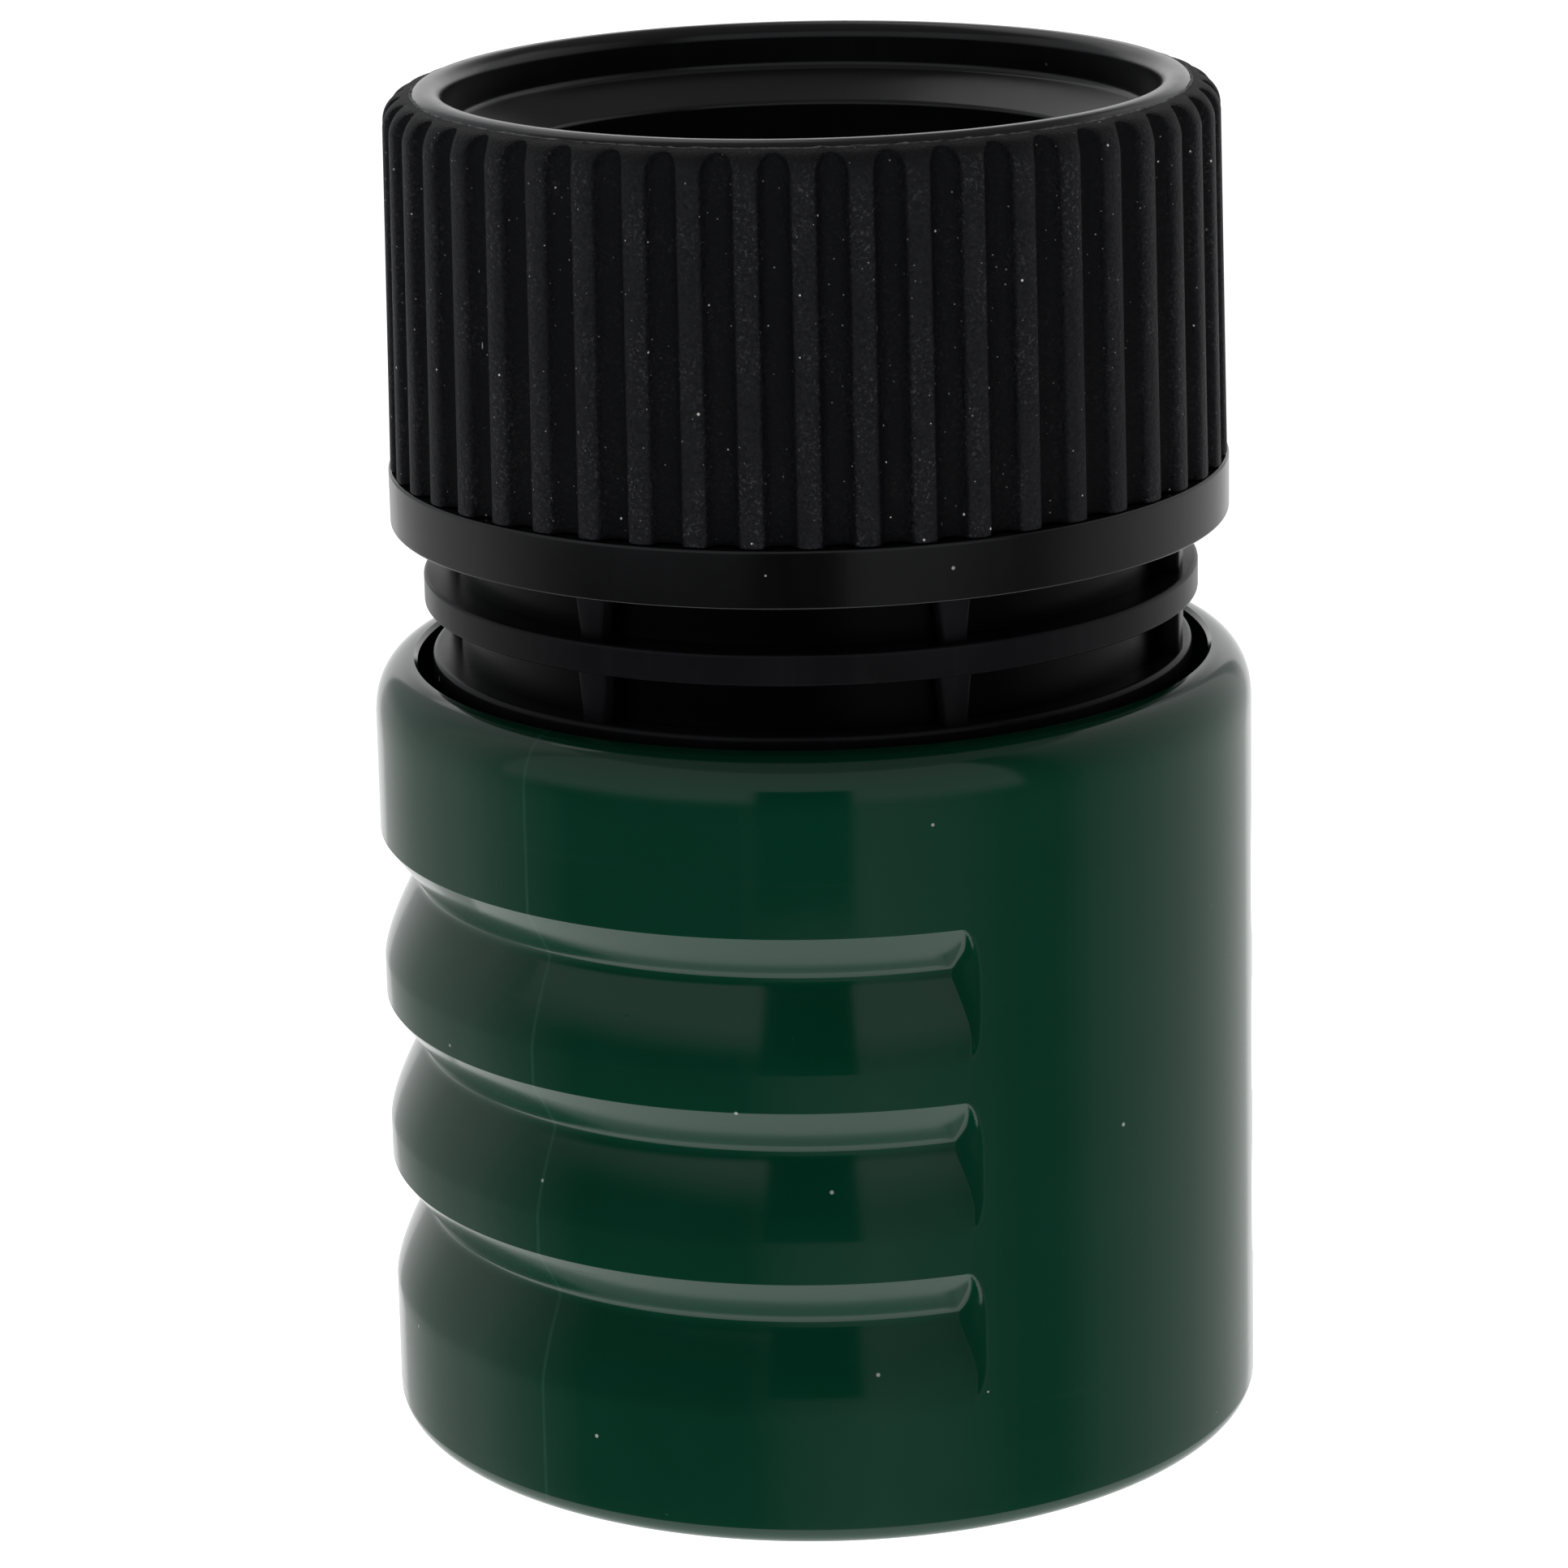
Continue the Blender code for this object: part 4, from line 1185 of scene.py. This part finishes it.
@dataclass
class HoseEnd:
    """What holds the hose inside the nut: barbed tail, clamping collet and seal."""

    tail_base: float = 10.9 * MM
    tail_base_height: float = 1.2 * MM
    tail_radius: float = 7.2 * MM
    barb_radius: float = 8.0 * MM
    tail_bore: float = 5.8 * MM
    stop_bore: float = 8.3 * MM
    stop_radius: float = 10.4 * MM
    stop_height: float = 0.2 * MM
    barb_count: int = 2
    barb_pitch: float = 1.9 * MM
    barb_first: float = 2.6 * MM
    barb_length: float = 1.6 * MM
    finger_count: int = 8
    finger_gap: float = 1.2 * MM
    collet_ring: float = 1.3 * MM
    collet_outer: float = 13.2 * MM
    collet_tip: float = 11.9 * MM
    collet_inner: float = 11.0 * MM
    collet_grip: float = 10.6 * MM
    finish: MouldedBlack = MouldedBlack(roughness=0.30)

    def tail(self) -> None:
        """Turn the barbed spigot that the hose is pushed over."""
        low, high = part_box("hose_tail")
        bottom, top = low.z, high.z
        base_top = bottom + self.tail_base_height
        corners = [(self.tail_bore, bottom, 0.15 * MM), (self.tail_base, bottom, 0.2 * MM),
                   (self.tail_base, base_top, 0.1 * MM), (self.stop_radius, base_top, 0.0),
                   (self.stop_radius, base_top + self.stop_height, 0.05 * MM),
                   (self.stop_bore, base_top + self.stop_height, 0.05 * MM),
                   (self.stop_bore, base_top, 0.0), (self.tail_radius, base_top, 0.3 * MM)]
        for barb in range(self.barb_count):
            foot = bottom + self.barb_first + barb * self.barb_pitch
            corners += [(self.tail_radius, foot, 0.0), (self.barb_radius, foot + 0.1 * MM, 0.08 * MM),
                        (self.tail_radius, foot + self.barb_length, 0.0)]
        corners += [(self.tail_radius - 0.1 * MM, top, 0.35 * MM), (self.tail_bore, top, 0.3 * MM)]
        target = turned("hose_tail_spigot", rounded(corners), self.finish, 160)
        placed(target, Body.NECK, Slot.BLACK, "hose_tail")

    def collet(self) -> None:
        """Build the collet's ring and stand its fingers round it."""
        low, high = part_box("hose_collet")
        bottom, top = low.z, high.z
        ring_top = bottom + self.collet_ring
        section = band(self.collet_inner, bottom, self.collet_outer, ring_top,
                       0.15 * MM, 0.15 * MM, 0.1 * MM, 0.1 * MM)
        ring = turned("collet_ring", section, self.finish, 128)
        root = ring_top - 0.15 * MM
        corners = [(self.collet_inner, root, 0.0), (self.collet_outer - 0.05 * MM, root, 0.0),
                   (self.collet_tip, top, 0.2 * MM), (self.collet_grip, top, 0.12 * MM),
                   (self.collet_grip, top - 0.6 * MM, 0.1 * MM),
                   (self.collet_inner, top - 1.2 * MM, 0.3 * MM)]
        half = pi / self.finger_count - asin(self.finger_gap / 2 / self.collet_outer)
        stations = [half * (2 * step / 14 - 1) for step in range(15)]
        finger = crisp("collet_fingers", swept(rounded(corners), stations, sector), self.finish)
        placed(joined(ring, [repeated(finger, self.finger_count)]), Body.COLLET, Slot.BLACK, "hose_collet")

    def build(self) -> None:
        """Build the hose end's pieces."""
        self.tail()
        self.collet()


@dataclass
class Seals:
    """The rubber rings, each filling the box of its CAD node."""

    finish: SealRubber = SealRubber()

    def ring(self, node: str, inner: float, body: Body) -> None:
        """Turn one ring with a rounded section.

        Args:
            node: CAD node that it stands for.
            inner: its inner radius.
            body: body that it moves with.
        """
        low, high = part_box(node)
        outer = (high.x - low.x) / 2
        fillet = min(outer - inner, high.z - low.z) * 0.42
        outline = rounded([(inner, low.z, fillet), (outer, low.z, fillet), (outer, high.z, fillet),
                           (inner, high.z, fillet)], 6)
        placed(turned(f"{node}_ring", outline, self.finish, 144), body, Slot.SEAL, node)

    def build(self) -> None:
        """Turn the four rings."""
        self.ring("tail_seal", 8.2 * MM, Body.NECK)
        self.ring("joint_gasket", 9.8 * MM, Body.NECK)
        self.ring("valve_seal", 6.8 * MM, Body.POPPET)
        self.ring("plug_seal", 9.3 * MM, Body.NECK)


@dataclass
class Socket:
    """Socket tube that takes the plug, and the ring clipped to its end."""

    tube_radius: float = 12.3 * MM
    bore: float = 11.0 * MM
    depth: float = 14.0 * MM
    nose_bore: float = 8.9 * MM
    seat_top: float = 25.6 * MM
    seat_bore: float = 6.6 * MM
    seat_thickness: float = 1.6 * MM
    slot_count: int = 4
    slot_top: float = 7.7 * MM
    slot_width: float = 7.8 * MM
    ring_bore: float = 11.2 * MM
    ring_radius: float = 13.6 * MM
    finish: MouldedBlack = MouldedBlack(roughness=0.28)

    def tube(self) -> None:
        """Turn the tube and cut the claws' slots."""
        low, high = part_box("socket_tube")
        bottom, top = low.z, high.z
        edge = 0.15 * MM
        outline = rounded([
            (self.bore, bottom, edge), (self.tube_radius, bottom, edge), (self.tube_radius, top, edge),
            (self.bore, top, edge), (self.bore, self.seat_top, edge),
            (self.seat_bore, self.seat_top, 0.3 * MM),
            (self.seat_bore, self.seat_top - self.seat_thickness, edge),
            (self.nose_bore, self.seat_top - self.seat_thickness, edge),
            (self.nose_bore, self.depth + 0.8 * MM, edge), (self.bore, self.depth, edge)])
        target = turned("socket_tube_body", outline, self.finish, 160)
        height = self.slot_top - bottom + MM
        cutters = []
        for index in range(self.slot_count // 2):
            size = (30.0 * MM, self.slot_width, height)
            box = box_mesh(size, (0, 0, self.slot_top - height / 2), 0.3 * MM)
            turn = Matrix.Rotation(pi / 4 + index * pi / 2, 3, "Z")
            bmesh.ops.rotate(box, cent=(0, 0, 0), matrix=turn, verts=box.verts)
            cutters.append(crisp(f"slot_cutter_{index}", box, self.finish))
        placed(cut(target, cutters), Body.NECK, Slot.BLACK, "socket_tube")

    def end_ring(self) -> None:
        """Turn the end ring, with a lead-in for the plug."""
        low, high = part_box("end_ring")
        outline = rounded([
            (self.ring_bore + 0.8 * MM, low.z, 0.12 * MM), (self.ring_radius, low.z, 0.35 * MM),
            (self.ring_radius, high.z, 0.15 * MM), (self.ring_bore, high.z, 0.12 * MM),
            (self.ring_bore, low.z + 0.8 * MM, 0.2 * MM)])
        target = turned("socket_end_ring", outline, self.finish, 160)
        placed(target, Body.NECK, Slot.BLACK, "end_ring")

    def build(self) -> None:
        """Build the socket's pieces."""
        self.tube()
        self.end_ring()


@dataclass
class LockingClaws:
    """Four claws that the collar's cone presses into the plug's groove."""

    count: int = 4
    hook_radius: float = 9.8 * MM
    half_width: float = 3.6 * MM
    shank_radius: float = 11.1 * MM
    finish: Acetal = Acetal()

    def claw(self, index: int) -> None:
        """Carry the claw's section across its width and turn it to its place."""
        node = f"claw_{index + 1}"
        low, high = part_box(node)
        bottom, top = low.z, high.z
        collar = ReleaseCollar()
        back_top = collar.cone_top_radius - 0.35 * MM
        back_bottom = back_top + collar.cone_slope * (top - bottom)
        corners = [(self.hook_radius + 0.9 * MM, bottom, 0.2 * MM), (back_bottom, bottom, 0.25 * MM),
                   (back_top, top, 0.25 * MM), (self.shank_radius, top, 0.2 * MM),
                   (self.shank_radius, bottom + 3.0 * MM, 0.15 * MM),
                   (self.hook_radius, bottom + 2.9 * MM, 0.15 * MM),
                   (self.hook_radius, bottom + 1.5 * MM, 0.2 * MM)]
        sides = [self.half_width * (2 * step / 12 - 1) for step in range(13)]
        mesh = swept(rounded(corners), sides, flat_sided)
        turn = Matrix.Rotation(pi / 4 + tau * index / self.count, 3, "Z")
        bmesh.ops.rotate(mesh, cent=(0, 0, 0), matrix=turn, verts=mesh.verts)
        target = crisp(f"locking_{node}", mesh, self.finish)
        placed(softened(target, 0.12 * MM), Body(node), Slot.ACETAL, node)

    def build(self) -> None:
        """Build the four claws."""
        for index in range(self.count):
            self.claw(index)


@dataclass
class Valve:
    """Water stop: a poppet with its stem and legs, and the guide that it slides in."""

    disc_radius: float = 7.9 * MM
    disc_edge: float = 0.7 * MM
    disc_thickness: float = 1.5 * MM
    hub_radius: float = 3.2 * MM
    stem_radius: float = 1.6 * MM
    leg_count: int = 3
    leg_radius: float = 0.9 * MM
    leg_circle: float = 5.1 * MM
    guide_ring: float = 10.8 * MM
    guide_ring_bore: float = 9.8 * MM
    guide_hub: float = 3.4 * MM
    guide_bore: float = 2.0 * MM
    guide_web: float = 37.2 * MM
    arm_width: float = 1.4 * MM
    finish: Acetal = Acetal()

    def poppet(self) -> None:
        """Turn the poppet and stand its legs round it."""
        low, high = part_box("valve_poppet")
        spring_low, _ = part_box("valve_spring")
        disc_top = spring_low.z - 0.3 * MM
        disc_bottom = disc_top - self.disc_thickness
        body = turned("water_stop_poppet", rounded([
            (0.0, disc_bottom, 0.0), (self.disc_radius, disc_bottom, 0.2 * MM),
            (self.disc_radius, disc_bottom + self.disc_edge, 0.15 * MM),
            (self.hub_radius, disc_top, 0.2 * MM),
            (self.stem_radius, disc_top, 0.2 * MM), (self.stem_radius, high.z, 0.45 * MM),
            (0.0, high.z, 0.0)]), self.finish, 128)
        section = band(0.0, low.z, self.leg_radius, disc_bottom + 0.3 * MM, 0.0, 0.35 * MM, 0.0, 0.0)
        mesh = lathe(section, even(40))
        bmesh.ops.translate(mesh, vec=(self.leg_circle, 0.0, 0.0), verts=mesh.verts)
        legs = repeated(crisp("poppet_legs", mesh, self.finish), self.leg_count)
        placed(joined(body, [legs]), Body.POPPET, Slot.ACETAL, "valve_poppet")

    def guide(self) -> None:
        """Build the guide: ring, hub and three arms."""
        low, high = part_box("valve_guide")
        edges = (0.15 * MM,) * 4
        ring = turned("stem_guide", band(self.guide_ring_bore, low.z, self.guide_ring, high.z, *edges),
                      self.finish, 128)
        hub = turned("guide_hub", band(self.guide_bore, self.guide_web, self.guide_hub, high.z, *edges),
                     self.finish, 64)
        height = high.z - self.guide_web - 0.6 * MM
        length = self.guide_ring_bore - self.guide_hub + 0.4 * MM
        middle = ((self.guide_ring_bore + self.guide_hub) / 2, 0.0,
                  self.guide_web + 0.3 * MM + height / 2)
        arm = crisp("guide_arms", box_mesh((length, self.arm_width, height), middle, 0.15 * MM), self.finish)
        placed(joined(ring, [hub, repeated(arm, self.leg_count)]), Body.NECK, Slot.ACETAL, "valve_guide")

    def build(self) -> None:
        """Build the valve's pieces."""
        self.poppet()
        self.guide()


@dataclass
class CoilSpring:
    """Compression spring with closed ends."""

    node: str
    joint: str
    wire_radius: float
    turns: float
    travel: float
    finish: SpringSteel = SpringSteel()

    def build(self) -> None:
        """Coil the wire between the ends of the CAD spring and hang it on the neck."""
        low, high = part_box(self.node)
        mean = (high.x - low.x) / 2 - self.wire_radius
        rise = high.z - low.z - 2 * self.wire_radius
        name = f"{self.node}_coil"
        target = crisp(name, bmesh.new(), self.finish)
        rule = Rule(name, radius=mean, rise=rise, turns=self.turns, wire_radius=self.wire_radius,
                    base=low.z + self.wire_radius, closing=0.12)
        radius, height, turns, wire, base, closing = rule.sizes
        spiral = rule.node("GeometryNodeCurveSpiral", None,
                           {"Resolution": 40, "Rotations": turns, "Start Radius": radius,
                            "End Radius": radius, "Height": height})
        x, y, _ = rule.position()
        along = rule.node("GeometryNodeSplineParameter")
        eased = rule.math("SMOOTH_MAX", along - closing, 0.0, 0.06) / (1.0 - 2.0 * closing)
        level = rule.math("SMOOTH_MIN", eased, 1.0, 0.06).ramp(0.0, 1.0)
        level = level * (1.0 - closing) + along * closing
        coil = rule.moved(spiral, x, y, base + height * level)
        ring = rule.node("GeometryNodeCurvePrimitiveCircle", None, {"Resolution": 14, "Radius": wire})
        wire_mesh = rule.node("GeometryNodeCurveToMesh", None,
                              {"Curve": coil, "Profile Curve": ring, "Fill Caps": True})
        rule.apply(target, wire_mesh)
        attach(target, Body.NECK.value)
        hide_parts(self.node)
        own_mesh(target)
        LOG.info("%s: %d faces, squashes with %s", name, len(target.data.polygons), self.joint)


# Studio


@dataclass
class Studio:
    """Pale floor, soft light, dark card on the viewer's side, and the camera.

    Reflections do not see the floor: they see the card, which goes on below it, and a bright disc that
    closes the card's bottom.
    """

    floor_size: float = 3.0
    floor_level: float = -0.02 * MM
    table_glow: float = 1.3
    dark: float = 0.09                    # brightness of the surround where nothing lights it
    front: float = 0.25                   # what is added low in front, where the back gets 1
    overhead: float = 0.12
    backdrop: float = 1.05                # what the camera sees behind the part
    camera_place: tuple[float, float, float] = (0.0, -216.2 * MM, 89.0 * MM)
    camera_tilt: float = radians(73.75)
    camera_roll: float = radians(-1.29)
    camera_turn: float = radians(0.34)
    focal_length: float = 126.1
    card_radius: float = 62.0 * MM
    card_top: float = 110.0 * MM
    card_bottom: float = -26.0 * MM
    disc_glow: float = 1.25
    card_half_angle: float = radians(140.0)
    card_steps: int = 56
    # brightness at angles in degrees, from the viewer's left to the right
    card_bands: tuple[Point, ...] = (
        (-140, 0.75), (-114, 0.48), (-90, 0.44), (-76, 0.24), (-58, 0.03), (-18, 0.02), (-6, 0.14),
        (12, 0.22), (30, 0.16), (44, 0.05), (56, 0.05), (66, 0.22), (88, 0.42), (114, 0.58), (140, 0.78))
    raised: Colour = (-60.0 * MM, 45.0 * MM, 26.0 * MM, 40.0 * MM)    # left, right, start and end of its fade
    raised_glow: Colour = (0.40, 0.42, 0.43, 1.0)
    window: Colour = (-14.2 * MM, 8.5 * MM, 12.0 * MM, 50.0 * MM)     # left, right, bottom, top

    def camera(self) -> None:
        """Place the camera."""
        data = bpy.data.cameras.new("camera")
        data.lens = self.focal_length
        data.clip_start = 0.01
        camera = bpy.data.objects.new("camera", data)
        turn = Matrix.Rotation(self.camera_turn, 4, "Z") @ Matrix.Rotation(self.camera_tilt, 4, "X")
        camera.matrix_world = (Matrix.Translation(self.camera_place) @ turn
                               @ Matrix.Rotation(self.camera_roll, 4, "Z"))
        bpy.context.scene.collection.objects.link(camera)
        bpy.context.scene.camera = camera

    def world(self) -> None:
        """Light the scene from a surround that is white low at the back and dark overhead."""
        world = bpy.data.worlds.new("studio")
        world.use_nodes = True
        bpy.context.scene.world = world
        tree = Tree(world.node_tree)
        _, y, z = tree.parts(tree.node("ShaderNodeTexCoord", output="Generated"))
        low = 1.0 - z.ramp(0.2, 0.6, True)
        level = self.dark + (self.front + (1.0 - self.front) * y.ramp(-0.5, 0.4, True)) * low
        level = level + self.overhead * z.ramp(0.5, 0.85, True)
        seen = tree.node("ShaderNodeLightPath", output="Is Camera Ray")
        level = level * (1.0 - seen) + self.backdrop * seen
        background = world.node_tree.nodes["Background"]
        tree.feed(background.inputs["Strength"], level)
        background.inputs["Color"].default_value = (1.0, 1.0, 1.0, 1.0)

    def floor(self) -> None:
        """Lay the floor, which glows like a lit table."""
        mesh = bmesh.new()
        bmesh.ops.create_grid(mesh, x_segments=8, y_segments=8, size=self.floor_size / 2)
        bmesh.ops.translate(mesh, vec=(0, 0, self.floor_level), verts=mesh.verts)
        shade = Shade("pale_floor", Roughness=0.6, Specular_IOR_Level=0.1, Emission_Strength=1.0)
        shade.feed(shade.shader.inputs["Base Color"],
                   shade.mix(shade.noise(40.0), (0.60, 0.60, 0.60, 1.0), (0.64, 0.64, 0.64, 1.0)))
        near = 1.0 - shade.radius().ramp(40.0, 110.0, True)
        glow = shade.mix(near, (0.95, 0.95, 0.95, 1.0), (*(self.table_glow,) * 3, 1.0))
        shade.feed(shade.shader.inputs["Emission Color"], glow)
        floor = linked("floor", mesh, shade.material)
        floor.visible_glossy = False

    def reflector(self, name: str, mesh: bmesh.types.BMesh, glow: Callable[[Tree], Any]) -> None:
        """Make a glowing surface that only reflections see.

        Args:
            name: name of the surface.
            mesh: its mesh, freed afterwards.
            glow: gives its colour in its material's tree.
        """
        material = bpy.data.materials.new(name)
        material.use_nodes = True
        tree = Tree(material.node_tree)
        emission = tree.node("ShaderNodeEmission", None, {"Color": glow(tree), "Strength": 1.0})
        tree.feed(material.node_tree.nodes["Material Output"].inputs["Surface"], emission)
        surface = linked(name, mesh, material)
        surface.visible_camera = False
        surface.visible_diffuse = False
        surface.visible_shadow = False
        surface.visible_transmission = False
        surface.visible_volume_scatter = False

    def card(self) -> None:
        """Stand a dark card round the viewer's side."""
        mesh = bmesh.new()
        columns = []
        for step in range(self.card_steps + 1):
            turn = self.card_half_angle * (2 * step / self.card_steps - 1) - pi / 2
            columns.append([mesh.verts.new(sector(self.card_radius, level, turn))
                            for level in (self.card_bottom, self.card_top)])
        for near, far in zip(columns, columns[1:]):
            mesh.faces.new((near[0], far[0], far[1], near[1]))
        self.reflector("dark_card", mesh, self.card_glow)

    def card_glow(self, tree: Tree) -> Sock:
        """Colour of the card: soft bands round it, a paler upper part and a dark window.

        Args:
            tree: tree of the card's material.

        Returns:
            The colour.
        """
        x, y, z = tree.parts(tree.node("ShaderNodeTexCoord", output="Object"))
        turn = tree.math("ARCTAN2", x, -y) / tau + 0.5
        bands = [(0.5 + angle / 360, glow) for angle, glow in self.card_bands]
        level = tree.node("ShaderNodeValToRGB", {"stops": bands}, {0: turn})
        left, right, low, high = self.raised
        level = tree.mix(z.ramp(low, high, True) * (x < right) * (x > left), level, self.raised_glow)
        left, right, low, high = self.window
        window = (x > left) * (x < right) * (z > low) * (z < high)
        return tree.mix(window, level, (0.0, 0.0, 0.0, 1.0))

    def disc(self) -> None:
        """Lay the bright disc under the card."""
        mesh = bmesh.new()
        bmesh.ops.create_circle(mesh, cap_ends=True, segments=64, radius=self.card_radius)
        bmesh.ops.translate(mesh, vec=(0, 0, self.card_bottom), verts=mesh.verts)
        self.reflector("bright_disc", mesh, lambda tree: (*(self.disc_glow,) * 3, 1.0))

    def lamp(self, name: str, place: Sequence[float], size: float, power: float) -> None:
        """Hang a square soft box that faces the part.

        Args:
            name: name of the light.
            place: its position.
            size: its side.
            power: its power in watts.
        """
        data = bpy.data.lights.new(name, "AREA")
        data.size = size
        data.energy = power
        lamp = bpy.data.objects.new(name, data)
        lamp.location = place
        lamp.rotation_euler = (-Vector(place)).to_track_quat("-Z", "Y").to_euler()
        bpy.context.scene.collection.objects.link(lamp)

    def build(self) -> None:
        """Set up the studio."""
        bpy.context.scene.view_settings.view_transform = "Standard"
        self.camera()
        self.world()
        self.floor()
        self.card()
        self.disc()
        self.lamp("back_box", (-0.25, 0.45, 0.55), 0.5, 0.5)


def main() -> None:
    """Build the studio and every sub-assembly."""
    logging.basicConfig(level=logging.INFO, format="%(name)s %(message)s")
    Studio().build()
    ReleaseCollar().build()
    Neck().build()
    ClampNut().build()
    HoseEnd().build()
    Seals().build()
    Socket().build()
    LockingClaws().build()
    Valve().build()
    CoilSpring("collar_spring", "collar_pull", 0.6 * MM, 5.0, 4.0 * MM).build()
    CoilSpring("valve_spring", "poppet_lift", 0.4 * MM, 5.0, 3.0 * MM).build()


if __name__ == "__main__":
    main()
